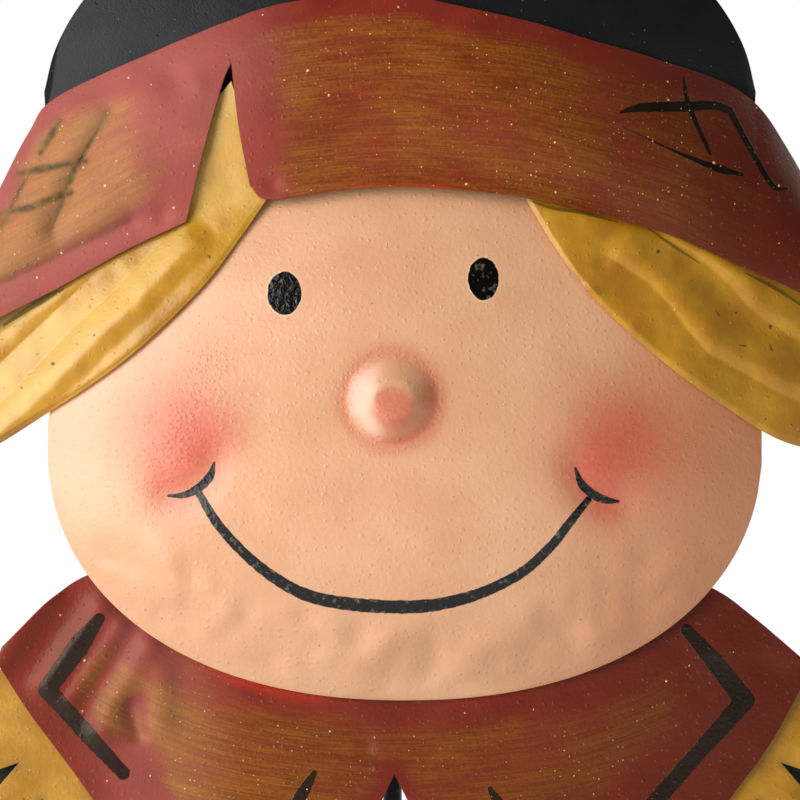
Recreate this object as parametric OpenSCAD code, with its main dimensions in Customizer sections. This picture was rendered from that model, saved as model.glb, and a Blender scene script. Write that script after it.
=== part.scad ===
// Standing scarecrow of painted, pressed steel sheets on a steel rod.
// The sheets are layered from the rod towards the front, which is -Y, and a
// plate with a socket tube lets the figure stand. Heights of the head and
// collar outlines are measured from the middle of the nose.

/* [Figure] */
// Height of the middle of the nose above the floor
nose_h = 590; // [560:5:640]
// Thickness of the pressed sheets
sheet_t = 0.8; // [0.6:0.1:1.0]
// Gap left between sheets that are spot-welded together
layer_gap = 0.5; // [0.4:0.05:0.6]

/* [Head] */
// Width of the face
face_w = 191; // [180:1:200]
// Height of the face, as far as it shows under the brim
face_h = 138; // [132:1:144]
// How far the top of the face reaches up behind the brim
brow_lap = 5; // [3:0.5:6]
// How far the middle of the face stands out from its rim
face_rise = 20; // [14:1:24]
// Diameter of the pressed nose
nose_d = 23; // [20:0.5:25]
// How far the nose stands out from the face
nose_out = 7; // [5:0.5:8]
// How far the middle of the hat crown stands out from its rim
crown_rise = 16; // [12:1:17]
// How far the hat brim bulges between its two edges
brim_rise = 4.5; // [3:0.5:9]
// How far each lock of hair bulges
hair_rise = 1; // [0.4:0.1:1.2]
// How far the middle of the collar stands in front of its ends
collar_rise = 4; // [3:0.25:4.5]

/* [Straw] */
// Number of straw points in each shoulder ruff
ruff_points = 8; // [5:1:10]
// Number of straw points in each hand
hand_points = 5; // [3:1:7]
// Number of straw points at each ankle
ankle_points = 5; // [3:1:7]
// Length of a straw point in a shoulder ruff
ruff_reach = 32; // [22:1:34]
// Length of a straw point in a hand
hand_reach = 34; // [24:1:40]
// Length of a straw point at an ankle
ankle_reach = 22; // [18:1:26]

/* [Body] */
// How far the shirt bulges
shirt_rise = 6; // [3:0.5:7]
// How far the sleeves bulge
sleeve_rise = 4; // [2:0.5:4]
// How far the trouser legs bulge
trouser_rise = 7; // [3:0.5:9]
// Height of the belt
belt_h = 16; // [12:1:20]
// Height of the boots
boot_h = 48; // [42:1:54]
// How far the boots bulge
boot_rise = 5; // [3:0.5:6]
// Straw that shows between a trouser leg and its boot
ankle_gap = 14; // [8:1:20]

/* [Rod and cross bars] */
// Diameter of the upright rod
rod_d = 5; // [4:0.5:6]
// Distance of the rod to the left of the middle
rod_left = 2; // [0:0.5:3]
// Height of the top of the rod above the nose
rod_top = 126; // [122:1:130]
// Diameter of the cross bars
bar_d = 5; // [4:0.5:6]
// Gap at a welded joint between a bar and what it carries
weld_gap = 0.3; // [0.2:0.05:0.4]

/* [Hanging ring] */
// Diameter of the ring wire
ring_wire = 2.5; // [2:0.1:3]
// Radius of the ring, and half the length of its straight side
ring_r = 14; // [12:0.5:16]
// Outer diameter of the eye that holds the ring
eye_d = 7; // [6:0.25:8]
// Length of the eye
eye_l = 12; // [8:0.5:14]
// Height of the eye above the nose
eye_up = 112; // [108:1:116]

/* [Stand] */
// Width of the base plate
plate_w = 240; // [220:2:280]
// Depth of the base plate
plate_d = 150; // [130:2:180]
// Thickness of the base plate
plate_t = 3; // [2:0.5:5]
// Corner radius of the base plate
plate_r = 18; // [12:1:30]
// Diameter of the holes for ground pegs
peg_hole_d = 6; // [5:0.25:8]
// Distance of the peg holes from the plate's edges
peg_inset = 15; // [12:0.5:18]
// Outer diameter of the socket tube
socket_d = 12; // [11:0.5:14]
// Height of the socket tube
socket_h = 50; // [46:1:56]
// Radial running clearance of the rod, the ring and the screw
run_gap = 0.05; // [0.03:0.01:0.08]
// Diameter of the thumb screw's shank
screw_d = 5; // [4:0.25:6]
// Height of the thumb screw above the plate
screw_h = 30; // [24:1:34]
// Diameter of the boss that takes the thumb screw
boss_d = 11; // [9.5:0.5:13]
// Length of the boss behind the socket tube
boss_l = 5; // [4:0.5:8]
// Diameter of the thumb screw's knob
knob_d = 18; // [15:0.5:22]
// Thickness of the knob
knob_t = 7; // [5:0.5:9]
// Number of finger grooves around the knob
knob_grooves = 8; // [6:1:10]

/* [Hidden] */
$fn = 48;

// Paint colours
brick_red = "#9c3b3e";
straw_yellow = "#d9a940";
skin = "#f0c3a0";
shirt_green = "#33493a";
black = "#2b2b2c";

// Outlines are drawn for a face of this size and follow the face's size
drawn_face_w = 191;
drawn_face_h = 138;
wide = face_w / drawn_face_w;
tall = face_h / drawn_face_h;

// Distances in front of the rod's axis, from the back to the front
bar_y = rod_d / 2 + weld_gap + bar_d / 2;
seat = bar_y + bar_d / 2 + weld_gap;
tucked_seat = seat + sheet_t + layer_gap;
ruff_seat = tucked_seat + sleeve_rise + sheet_t + layer_gap;
collar_seat = ruff_seat + sheet_t + layer_gap;
face_seat = collar_seat + collar_rise + sheet_t + layer_gap;
rod_x = -rod_left;

// Face and crown outlines, from the middle of the nose
face_mid = [1.3 * wide, -11.2 * tall];
crown_mid = [0, 77 * tall];
crown_half_w = 96 * wide;
crown_half_h = 66 * tall;
crown_foot = 66 * tall;
nose_x = -2 * wide;

// Heights above the floor
waist_h = nose_h - 326 * tall;
sole_h = plate_t + weld_gap;
boot_top_h = sole_h + boot_h;
hem_h = boot_top_h + ankle_gap;
ankle_bar_h = hem_h + bar_d + 3;
eye_h = nose_h + eye_up * tall;

// Depth of a dome over an ellipse: 1 in the middle, 0 from the rim outwards
function ellipse_r(x, z, mid, half_w, half_h) = norm([(x - mid.x) / half_w, (z - mid.y) / half_h]);
function dome(r, power) = 1 - pow(min(r, 1), power);
function arch(t) = dome(abs(2 * t - 1), 2.5);
function blend(a, b, t) = a + (b - a) * t;

// A smooth edge through points [x, z], where a third number of 1 marks a corner
function xz(p) = [p[0], p[1]];
function leaving(e, i) =
    (i == 0 || e[i][2] == 1) ? xz(e[i + 1]) - xz(e[i]) : (xz(e[i + 1]) - xz(e[i - 1])) / 2;
function arriving(e, i) =
    (i == len(e) - 1 || e[i][2] == 1) ? xz(e[i]) - xz(e[i - 1]) : (xz(e[i + 1]) - xz(e[i - 1])) / 2;
function along(e, i, s) =
    let (p = xz(e[i]), q = xz(e[i + 1]), m = leaving(e, i), n = arriving(e, i + 1))
    p + m * s + (3 * (q - p) - 2 * m - n) * s * s + (2 * (p - q) + m + n) * s * s * s;
function edge_line(e, cols) = concat(
    [for (i = [0:len(e) - 2]) for (j = [0:cols - 1]) along(e, i, j / cols)],
    [xz(e[len(e) - 1])]);
function turn(a, b) = a.x * b.y - a.y * b.x;

// A pressed sheet between two edges with as many points each. lift(x, z, u, v)
// is how far its back stands in front of the rod's axis, with u along the
// edges and v from the first edge to the second.
module sheet(first, second, lift, cols = 2, rows = 6) {
    a = edge_line(first, cols);
    b = edge_line(second, cols);
    n = len(a) - 1;
    step = rows + 1;
    count = (n + 1) * step;
    back = [for (i = [0:n]) for (j = [0:rows])
        let (p = blend(a[i], b[i], j / rows)) [p.x, -lift(p.x, p.y, i / n, j / rows), p.y]];
    front = [for (p = back) p - [0, sheet_t, 0]];
    mid = floor(n / 2);
    flipped = turn(a[mid + 1] - a[mid], b[mid] - a[mid]) < 0;
    function quad(p, q, r, s) = flipped ? [[p, q, r], [p, r, s]] : [[p, r, q], [p, s, r]];
    skins = [for (i = [0:n - 1]) for (j = [0:rows - 1])
        let (k = i * step + j)
        for (f = concat(quad(count + k, count + k + step, count + k + step + 1, count + k + 1),
            quad(k, k + 1, k + step + 1, k + step))) f];
    long_rims = [for (i = [0:n - 1])
        let (k = i * step, m = i * step + rows)
        for (f = concat(quad(k, k + step, count + k + step, count + k),
            quad(m, count + m, count + m + step, m + step))) f];
    short_rims = [for (j = [0:rows - 1])
        let (m = n * step + j)
        for (f = concat(quad(j, count + j, count + j + 1, j + 1),
            quad(m, m + 1, count + m + 1, count + m))) f];
    polyhedron(concat(back, front), concat(skins, long_rims, short_rims), convexity = 8);
}

// Head outlines at the face's own size
function drawn(points) = [for (p = points) [p[0] * wide, p[1] * tall, p[2]]];

module at_nose() {
    translate([0, 0, nose_h]) children();
}

module mirrored() {
    mirror([1, 0, 0]) children();
}

// Hat crown: a half dome open at its foot, behind the brim
function crown_back(x, z) =
    seat + crown_rise * dome(ellipse_r(x, z, [crown_mid.x, crown_foot],
        crown_half_w, crown_mid.y + crown_half_h - crown_foot), 2);

module hat_crown() {
    arc = [for (t = [5:10:175]) [crown_mid.x - crown_half_w * cos(t), crown_mid.y + crown_half_h * sin(t)]];
    foot = [for (p = arc) [crown_mid.x + 0.99 * (p.x - crown_mid.x), crown_foot]];
    color(black) at_nose()
        sheet(foot, arc, function(x, z, u, v) crown_back(x, z), cols = 1, rows = 7);
}

// Hat brim: one sheet with a torn notch above the left eye
brim_low = drawn([
    [-126, 12], [-107, 22], [-91, 30], [-73, 40], [-57, 47.5, 1], [-53, 64], [-47.5, 84], [-45, 90, 1],
    [-43, 73], [-40, 57, 1], [-35, 53.5], [-16, 56], [0, 57], [15, 56], [33, 54], [58, 48], [72, 44],
    [88, 37], [107, 28.5], [126, 18]]);
brim_high = drawn([
    [-120, 31], [-107.5, 57], [-99.7, 72], [-92, 81.5], [-64, 94], [-55.5, 97.5], [-50, 99.8], [-45, 101.6],
    [-42, 102.8], [-38.7, 104], [-31, 106], [-16, 108], [0, 108.5], [12, 106], [35, 101], [52, 96],
    [68, 91.5], [92, 82.5], [105, 66], [121, 35]]);
brim_sweep = 8;
brim_half_w = 125 * wide;
brim_out = 2 * (sheet_t + layer_gap) + hair_rise + 2 * layer_gap;
// The brim's lower edge without the notch, and the share of the way up from it
notch_first = 5;
notch_last = 9;
brim_hem = [for (i = [0:len(brim_low) - 1]) if (i < notch_first || i > notch_last) xz(brim_low[i])];
brim_peak = [for (p = brim_high) xz(p)];
function up_brim(x, z) =
    let (low = lookup(x, brim_hem), high = lookup(x, brim_peak))
    min(max((z - low) / (high - low), 0), 1);
function brim_back(x, z) =
    let (up = up_brim(x, z))
    blend(face_back(x, z) + brim_out - brim_sweep * pow(x / brim_half_w, 4),
        crown_back(x, z) + sheet_t + layer_gap, up) + brim_rise * dome(abs(2 * up - 1), 2);

module hat_brim() {
    color(brick_red) at_nose()
        sheet(brim_low, brim_high, function(x, z, u, v) brim_back(x, z));
}

// Face: a deep dish with the nose pressed out of it
brow_half_h = face_h / 2 + brow_lap;
// The jaw is fuller than an ellipse, which would have a power of 2
jaw_power = 2.2;
function jaw_r(x, z) =
    pow(pow(2 * abs(x - face_mid.x) / face_w, jaw_power) + pow(2 * abs(z - face_mid.y) / face_h, jaw_power),
        1 / jaw_power);
function face_r(x, z) =
    z > face_mid.y ? ellipse_r(x, z, face_mid, face_w / 2, brow_half_h) : jaw_r(x, z);
function face_back(x, z) = face_seat + face_rise * dome(face_r(x, z), 2.4);

module face() {
    angles = [for (i = [0:24]) blend(4, 176, i / 24)];
    chin = [for (t = angles) face_mid - [cos(t) * face_w / 2,
        pow(1 - pow(abs(cos(t)), jaw_power), 1 / jaw_power) * face_h / 2]];
    brow = [for (t = angles) face_mid + [-cos(t) * face_w / 2, sin(t) * brow_half_h]];
    nose_wall = face_back(nose_x, 0);
    nose_r = nose_d / 2;
    nose_y = -(nose_wall + sheet_t + nose_out - nose_r);
    mouth_r = sqrt(pow(nose_r - sheet_t / 2, 2) - pow(nose_wall + sheet_t / 2 + nose_y, 2));
    color(skin) at_nose() {
        difference() {
            sheet(chin, brow, function(x, z, u, v) face_back(x, z), cols = 1, rows = 10);
            translate([nose_x, 0, 0]) rotate([90, 0, 0]) cylinder(h = nose_wall + nose_d, r = mouth_r);
        }
        translate([nose_x, nose_y, 0])
            difference() {
                sphere(r = nose_r);
                sphere(r = nose_r - sheet_t);
                translate([-nose_d, -nose_wall - nose_y, -nose_d]) cube(2 * nose_d);
            }
    }
}

// Hair: two locks that lie over the face and the foot of the crown, and fall
// back behind the sides of the face's rim
hair_fall = 40;
fall_top = 50 * tall;
fall_full = 20 * tall;
function falling(z) = min(max((fall_top - z) / (fall_top - fall_full), 0), 1);
function hair_back(x, z, v) =
    face_back(x, z) + sheet_t + layer_gap - hair_fall * falling(z) * max(face_r(x, z) - 1, 0)
        + hair_rise * arch(v);

hair_left_low = drawn([
    [-35.5, 53.5], [-43, 42.5], [-53, 29.5], [-72, 11.5], [-94, -3.5], [-116, -16], [-138, -20]]);
hair_left_high = drawn([
    [-45, 85], [-56, 72], [-70, 56], [-88, 38], [-106, 24], [-124, 9], [-140, -10]]);
hair_right_low = drawn([
    [33.5, 53.5], [41.5, 40], [51, 27.5], [67, 12.5], [86, -1.5], [107, -12.5], [138, -14]]);
hair_right_high = drawn([
    [36, 58], [56, 55], [71, 49.5], [84, 44], [97, 38], [114, 27], [140, 2]]);

module hair_left() {
    color(straw_yellow) at_nose()
        sheet(hair_left_high, hair_left_low, function(x, z, u, v) hair_back(x, z, v), cols = 3);
}

module hair_right() {
    color(straw_yellow) at_nose()
        sheet(hair_right_low, hair_right_high, function(x, z, u, v) hair_back(x, z, v), cols = 3);
}

// Collar: a wide cape with two pointed lapels
collar_half_w = 110 * wide;
collar_low = drawn([
    [-108, -70], [-99, -84], [-82, -107], [-60, -141], [-38, -176, 1], [-1.5, -100, 1], [37, -176, 1],
    [62, -142], [88, -107], [99, -92], [108.5, -75]]);
collar_high = drawn([
    [-106.5, -66], [-93, -53], [-81.5, -46], [-60, -41], [-38, -38], [-1.5, -37], [37, -38], [62, -42],
    [83, -50], [94.5, -58], [107.5, -69]]);
function collar_back(x) = collar_seat + collar_rise * dome(abs(x) / collar_half_w, 2);

module collar() {
    color(brick_red) at_nose()
        sheet(collar_low, collar_high, function(x, z, u, v) collar_back(x), cols = 3);
}

// A fan of straw points, square to the line from start to stop. It is tucked
// in behind that line, and its points stand to the left of the way along it.
module straw_fan(start, stop, points, tuck, root, reach, lift) {
    way = stop - start;
    out = [-way.y, way.x] / norm(way);
    inner = [for (i = [0:2 * points]) concat(start + way * i / (2 * points) - out * tuck, 1)];
    outer = [for (i = [0:2 * points])
        concat(start + way * i / (2 * points) + out * (i % 2 == 0 ? root : reach), 1)];
    color(straw_yellow)
        sheet(inner, outer, lift, cols = 1, rows = 4);
}

// Shoulder ruffs: straw points that show below the collar's outer edges
ruff_start = xz(drawn([[-54, -150]])[0]);
ruff_stop = xz(drawn([[-107, -72]])[0]);
ruff_tuck = 16;
ruff_root = 10;

module straw_ruff_left() {
    at_nose() straw_fan(ruff_start, ruff_stop, ruff_points, ruff_tuck, ruff_root, ruff_reach,
        function(x, z, u, v) collar_back(x) - layer_gap - sheet_t);
}

module straw_ruff_right() {
    mirrored() straw_ruff_left();
}

// Shirt: the front of the body, with a deep open neck
shirt_hem = drawn([
    [-72, -318], [-46, -324], [-22, -325], [0, -325], [22, -325], [46, -324], [72, -318]]);
shirt_top = drawn([
    [-66, -98], [-46, -86, 1], [-16, -92, 1], [0, -124, 1], [16, -92, 1], [46, -86, 1], [66, -98]]);

module shirt() {
    color(shirt_green) at_nose()
        sheet(shirt_hem, shirt_top,
            function(x, z, u, v) seat + shirt_rise * arch(u) * arch(v), cols = 3, rows = 8);
}

// Sleeves: wide cuffs that swing out and down from the shoulders
sleeve_under = drawn([[-132, -209], [-112, -182], [-92, -158], [-70, -140]]);
sleeve_over = drawn([[-173, -165], [-140, -126], [-104, -96], [-70, -88]]);

module sleeve_left() {
    color(shirt_green) at_nose()
        sheet(sleeve_under, sleeve_over,
            function(x, z, u, v) tucked_seat + sleeve_rise * arch(v), cols = 4);
}

module sleeve_right() {
    mirrored() sleeve_left();
}

// Hands: straw points tucked in behind the cuffs
hand_tuck = 10;
hand_root = 8;
hand_margin = 0.12;
hand_rise = 0.9 * sleeve_rise;

module straw_hand_left() {
    low = xz(sleeve_under[0]);
    high = xz(sleeve_over[0]);
    at_nose() straw_fan(blend(low, high, hand_margin), blend(high, low, hand_margin), hand_points,
        hand_tuck, hand_root, hand_reach,
        function(x, z, u, v) seat - layer_gap + hand_rise * arch(blend(hand_margin, 1 - hand_margin, u)));
}

module straw_hand_right() {
    mirrored() straw_hand_left();
}

// Belt: a band over the seam of shirt and trousers
belt_half_w = 75 * wide;
shirt_h = 227 * tall;
leg_h = waist_h - hem_h;
belt_bulge = max(shirt_rise * arch(belt_h / 2 / shirt_h), trouser_rise * arch(belt_h / 2 / leg_h));
belt_seat = seat + belt_bulge + sheet_t + layer_gap;

module belt() {
    ends = [-belt_half_w, -belt_half_w / 3, belt_half_w / 3, belt_half_w];
    low = [for (x = ends) [x, waist_h - belt_h / 2]];
    high = [for (x = ends) [x, waist_h + belt_h / 2]];
    color(straw_yellow)
        sheet(low, high, function(x, z, u, v) belt_seat, cols = 4, rows = 3);
}

// Ankles: straw points behind the trouser hems and over the boot tops
ankle_in = 13;
ankle_out = 58 * wide;
ankle_tuck = 14;
ankle_root = 6;
ankle_lap = ankle_reach - ankle_gap;
ankle_tip_seat = seat + boot_rise * arch(ankle_lap / boot_h) + sheet_t + layer_gap;
function ankle_back(z) =
    blend(ankle_tip_seat, seat + layer_gap, (z - hem_h + ankle_reach) / (ankle_reach + ankle_tuck));

module straw_ankle_left() {
    straw_fan([-ankle_in, hem_h], [-ankle_out, hem_h], ankle_points, ankle_tuck, ankle_root, ankle_reach,
        function(x, z, u, v) ankle_back(z));
}

module straw_ankle_right() {
    mirrored() straw_ankle_left();
}

// Trouser legs: flared tubes seen as half rounds, one for each side
leg_in_top = 4;
leg_in_hem = 8;
leg_out = 68 * wide;
hem_dip = 3;
trouser_hem_out = ankle_back(hem_h - hem_dip) + sheet_t + layer_gap;

module trouser_leg_left() {
    hem = [[-leg_out, hem_h], [-(leg_out + leg_in_hem) / 2, hem_h - hem_dip], [-leg_in_hem, hem_h]];
    top_h = waist_h - layer_gap;
    waist = [[-leg_out, top_h], [-(leg_out + leg_in_top) / 2, top_h], [-leg_in_top, top_h]];
    color(brick_red)
        sheet(hem, waist,
            function(x, z, u, v) blend(trouser_hem_out, seat, v) + trouser_rise * arch(u) * arch(v),
            cols = 5, rows = 10);
}

module trouser_leg_right() {
    mirrored() trouser_leg_left();
}

// Boots: round toes that point outwards
boot_in = 12;
boot_shaft = 40;
boot_toe = 88;
toe_h = 27;

module boot_left() {
    heel_x = -boot_in;
    shaft_x = heel_x - boot_shaft;
    toe_x = heel_x - boot_toe;
    instep_h = sole_h + toe_h + 6;
    sole = [[toe_x, sole_h + 3], [toe_x + 12, sole_h, 1], [shaft_x - 12, sole_h], [shaft_x, sole_h],
        [heel_x, sole_h]];
    upper = [[toe_x + 0.5, sole_h + 10], [toe_x + 12, sole_h + toe_h], [shaft_x - 8, instep_h],
        [shaft_x, boot_top_h, 1], [heel_x, boot_top_h]];
    color(black)
        sheet(sole, upper, function(x, z, u, v) seat + boot_rise * arch(v) * arch(u), cols = 3, rows = 6);
}

module boot_right() {
    mirrored() boot_left();
}

// Upright rod behind the figure; its foot stands in the socket tube
rod_foot = plate_t + 1;

module back_rod() {
    color(black) translate([rod_x, 0, rod_foot])
        cylinder(h = nose_h + rod_top * tall - rod_foot, d = rod_d);
}

// Cross bars in front of the rod, each carrying a pair of sheets
module cross_bar(h, half_l) {
    color(black) translate([-half_l, -bar_y, h]) rotate([0, 90, 0]) cylinder(h = 2 * half_l, d = bar_d);
}

module hat_bar() {
    cross_bar(nose_h + crown_foot + bar_d / 2 + 3, crown_half_w - 2);
}

module shoulder_bar() {
    cross_bar(nose_h - 140 * tall, 80 * wide);
}

module hip_bar() {
    cross_bar(waist_h - 14, leg_out - 2);
}

module ankle_bar() {
    cross_bar(ankle_bar_h, leg_out - 4);
}

// Eye on the back of the rod, and the ring that swings in it
eye_y = rod_d / 2 + weld_gap + eye_d / 2;

module ring_eye() {
    color(black) translate([rod_x - eye_l / 2, eye_y, eye_h]) rotate([0, 90, 0])
        difference() {
            cylinder(h = eye_l, d = eye_d);
            translate([0, 0, -1]) cylinder(h = eye_l + 2, r = ring_wire / 2 + run_gap);
        }
}

module hanging_ring() {
    color("silver") translate([rod_x, eye_y, eye_h]) {
        translate([-ring_r, 0, 0]) rotate([0, 90, 0]) cylinder(h = 2 * ring_r, d = ring_wire);
        for (x = [-ring_r, ring_r]) translate([x, 0, 0]) sphere(d = ring_wire);
        rotate([-90, 0, 0]) rotate_extrude(angle = 180) translate([ring_r, 0]) circle(d = ring_wire);
    }
}

// Base plate with a peg hole near each corner
module base_plate() {
    color(black) linear_extrude(plate_t)
        difference() {
            union() {
                square([plate_w - 2 * plate_r, plate_d], center = true);
                square([plate_w, plate_d - 2 * plate_r], center = true);
                for (x = [-1, 1], y = [-1, 1])
                    translate([x * (plate_w / 2 - plate_r), y * (plate_d / 2 - plate_r)]) circle(r = plate_r);
            }
            for (x = [-1, 1], y = [-1, 1])
                translate([x * (plate_w / 2 - peg_inset), y * (plate_d / 2 - peg_inset)])
                    circle(d = peg_hole_d);
        }
}

// Socket tube with a boss behind it for the thumb screw
boss_end = socket_d / 2 + boss_l;
module along_screw(from, to, d) {
    translate([0, from, screw_h]) rotate([-90, 0, 0]) cylinder(h = to - from, d = d);
}

module base_socket() {
    color(black) translate([rod_x, 0, plate_t])
        difference() {
            union() {
                cylinder(h = socket_h, d = socket_d);
                along_screw(0, boss_end, boss_d);
            }
            translate([0, 0, -1]) cylinder(h = socket_h + 2, r = rod_d / 2 + run_gap);
            along_screw(0, boss_end + 1, screw_d + 2 * run_gap);
        }
}

// Thumb screw that clamps the rod
groove_d = 4;
knob_start = boss_end + 1;

module thumb_screw() {
    color(black) translate([rod_x, 0, plate_t]) {
        along_screw(rod_d / 2 + weld_gap, knob_start + knob_t / 2, screw_d);
        translate([0, knob_start, screw_h]) rotate([-90, 0, 0]) linear_extrude(knob_t)
            difference() {
                circle(d = knob_d);
                for (i = [1:knob_grooves])
                    rotate(i * 360 / knob_grooves) translate([knob_d / 2 + groove_d / 4, 0])
                        circle(d = groove_d);
            }
    }
}

hat_crown();
hat_brim();
hair_left();
hair_right();
face();
collar();
straw_ruff_left();
straw_ruff_right();
shirt();
sleeve_left();
sleeve_right();
straw_hand_left();
straw_hand_right();
belt();
trouser_leg_left();
trouser_leg_right();
straw_ankle_left();
straw_ankle_right();
boot_left();
boot_right();
back_rod();
hat_bar();
shoulder_bar();
hip_bar();
ankle_bar();
ring_eye();
hanging_ring();
base_plate();
base_socket();
thumb_screw();
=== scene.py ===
import bpy
import numpy as np
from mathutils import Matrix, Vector, kdtree, noise


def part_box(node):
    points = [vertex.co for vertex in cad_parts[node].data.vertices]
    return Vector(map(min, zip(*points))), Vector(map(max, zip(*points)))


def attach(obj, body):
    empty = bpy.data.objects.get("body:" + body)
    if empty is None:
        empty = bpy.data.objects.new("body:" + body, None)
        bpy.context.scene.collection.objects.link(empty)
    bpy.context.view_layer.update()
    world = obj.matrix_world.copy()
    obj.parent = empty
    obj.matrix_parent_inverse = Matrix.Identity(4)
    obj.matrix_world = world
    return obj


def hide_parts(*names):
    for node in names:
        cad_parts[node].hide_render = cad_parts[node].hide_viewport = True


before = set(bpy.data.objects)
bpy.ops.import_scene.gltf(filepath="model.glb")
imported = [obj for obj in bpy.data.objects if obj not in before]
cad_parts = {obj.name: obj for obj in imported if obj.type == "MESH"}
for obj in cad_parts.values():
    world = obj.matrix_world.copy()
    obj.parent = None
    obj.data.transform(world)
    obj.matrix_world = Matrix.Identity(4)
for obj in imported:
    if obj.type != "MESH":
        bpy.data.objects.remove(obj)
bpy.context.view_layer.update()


# Upright rod, cross bars and ring eye
# Mild steel rod, cut to length and welded into a ladder that carries the
# sheets. It is sprayed matt black, and the paint is rubbed thin in places.
class Shade:
    """A value in a tree of nodes. Sums with it add Math nodes."""

    def __init__(self, nodes, maker, out):
        self.nodes = nodes
        self.maker = maker
        self.socket = maker.outputs[out]

    def other(self, out):
        """Another output of the node that made this value."""
        return Shade(self.nodes, self.maker, out)

    def maths(self, operation, first, second=0.0):
        return self.nodes.node("ShaderNodeMath", {"operation": operation}, {0: first, 1: second})

    def __add__(self, other):
        return self.maths("ADD", self, other)

    def __sub__(self, other):
        return self.maths("SUBTRACT", self, other)

    def __rsub__(self, other):
        return self.maths("SUBTRACT", other, self)

    def __mul__(self, other):
        return self.maths("MULTIPLY", self, other)

    __radd__ = __add__
    __rmul__ = __mul__

    def root(self):
        return self.maths("SQRT", self)

    def most(self, other):
        return self.maths("MAXIMUM", self, other)

    def least(self, other):
        return self.maths("MINIMUM", self, other)

    def mapped(self, low, high, first, last, run="LINEAR"):
        """first up to low, last from high, and an even run between the two."""
        return self.nodes.node("ShaderNodeMapRange", {"interpolation_type": run}, {
            "Value": self, "From Min": low, "From Max": high, "To Min": first, "To Max": last})

    def above(self, low, high):
        """0 up to low, 1 from high, and smooth between the two."""
        return self.mapped(low, high, 0.0, 1.0, "SMOOTHSTEP")


class Nodes:
    """A tree of nodes, which are added one at a time."""

    def __init__(self, tree):
        self.tree = tree

    def feed(self, socket, value):
        if isinstance(value, Shade):
            self.tree.links.new(value.socket, socket)
        else:
            socket.default_value = value

    def node(self, kind, settings=None, sockets=None, out=0):
        """Adds a node, its settings first, and gives one of its outputs."""
        made = self.tree.nodes.new(kind)
        for name, value in (settings or {}).items():
            setattr(made, name, value)
        for name, value in (sockets or {}).items():
            self.feed(made.inputs[name], value)
        return Shade(self, made, out)


class Paint(Nodes):
    """One finish: a material whose colours are laid over one another."""

    def __init__(self, name, fixed):
        self.material = bpy.data.materials.new(name)
        self.material.use_nodes = True
        super().__init__(self.material.node_tree)
        self.shader = self.tree.nodes["Principled BSDF"]
        for socket, value in fixed.items():
            self.shader.inputs[socket].default_value = value
        self.place = self.node("ShaderNodeTexCoord", out="Object")

    def cloud(self, size, detail=3.0):
        """Soft noise from 0 to 1, with lumps about as many millimetres wide as size."""
        return self.node("ShaderNodeTexNoise", None,
                         {"Vector": self.place, "Scale": 1 / (size * MM), "Detail": detail})

    def streaks(self, place, stretch, detail, scale=1.0):
        """Soft noise from 0 to 1, drawn out by stretching the place that it is read at."""
        drawn = self.node("ShaderNodeMapping", None, {"Vector": place, "Scale": stretch})
        return self.node("ShaderNodeTexNoise", None, {"Vector": drawn, "Scale": scale, "Detail": detail})

    def specks(self, spacing, size, share, level=0.4):
        """Ragged grains in a share of the cells of a loose grid across the front, sizes in millimetres.

        Each grain is level over a share of its width and slopes from there to its edge.
        """
        ragged = 1.5 * size * MM
        wander = self.node("ShaderNodeTexNoise", None,
                           {"Vector": self.place, "Scale": 1 / ragged, "Detail": 1.0}, out="Color")
        moved = self.node("ShaderNodeVectorMath", {"operation": "MULTIPLY_ADD"},
                          {0: wander, 1: (ragged, ragged, ragged), 2: self.place})
        front = self.node("ShaderNodeMapping", None, {"Vector": moved, "Rotation": (np.pi / 2, 0, 0)})
        cells = self.node("ShaderNodeTexVoronoi", {"voronoi_dimensions": "2D"},
                          {"Vector": front, "Scale": 1 / (spacing * MM)}, out="Distance")
        chosen = self.node("ShaderNodeSeparateColor", None, {"Color": cells.other("Color")})
        from_grain = cells * (0.6 + 0.9 * chosen.other("Green"))
        radius = size / spacing
        return from_grain.above(radius, level * radius) * chosen.above(1 - share, 1.01 - share)

    def stored(self, name, out="Fac"):
        return self.node("ShaderNodeAttribute", {"attribute_name": name}, None, out)

    def mix(self, share, *pair):
        """A blend of two colours, each a value or red, green and blue from 0 to 255."""
        first, second = [shade if isinstance(shade, Shade) else colour(*shade) for shade in pair]
        return self.node("ShaderNodeMix", {"data_type": "RGBA"}, {0: share, 6: first, 7: second}, out=2)

    def ground(self, share, first, second):
        """The first coat, a blend of two colours."""
        self.tone = self.mix(share, first, second)

    def lay(self, share, shade):
        """Lays a colour over a share of what is there."""
        self.tone = self.mix(share, self.tone, shade)

    def cover(self, roughness, height, depth):
        """Puts the paint on, with its roughness and bumps as deep as depth in millimetres."""
        bump = self.node("ShaderNodeBump", None, {"Distance": depth * MM, "Height": height})
        for socket, value in (("Base Color", self.tone), ("Roughness", roughness), ("Normal", bump)):
            self.feed(self.shader.inputs[socket], value)


def colour(red, green, blue):
    """A colour from its usual 0 to 255 values."""
    share = np.array([red, green, blue]) / 255
    linear = np.where(share <= 0.04045, share / 12.92, ((share + 0.055) / 1.055) ** 2.4)
    return (*linear, 1.0)


def dress(node, paint):
    """Gives a piece that keeps its shape its finish."""
    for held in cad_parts[node].material_slots:
        held.material = paint.material


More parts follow.
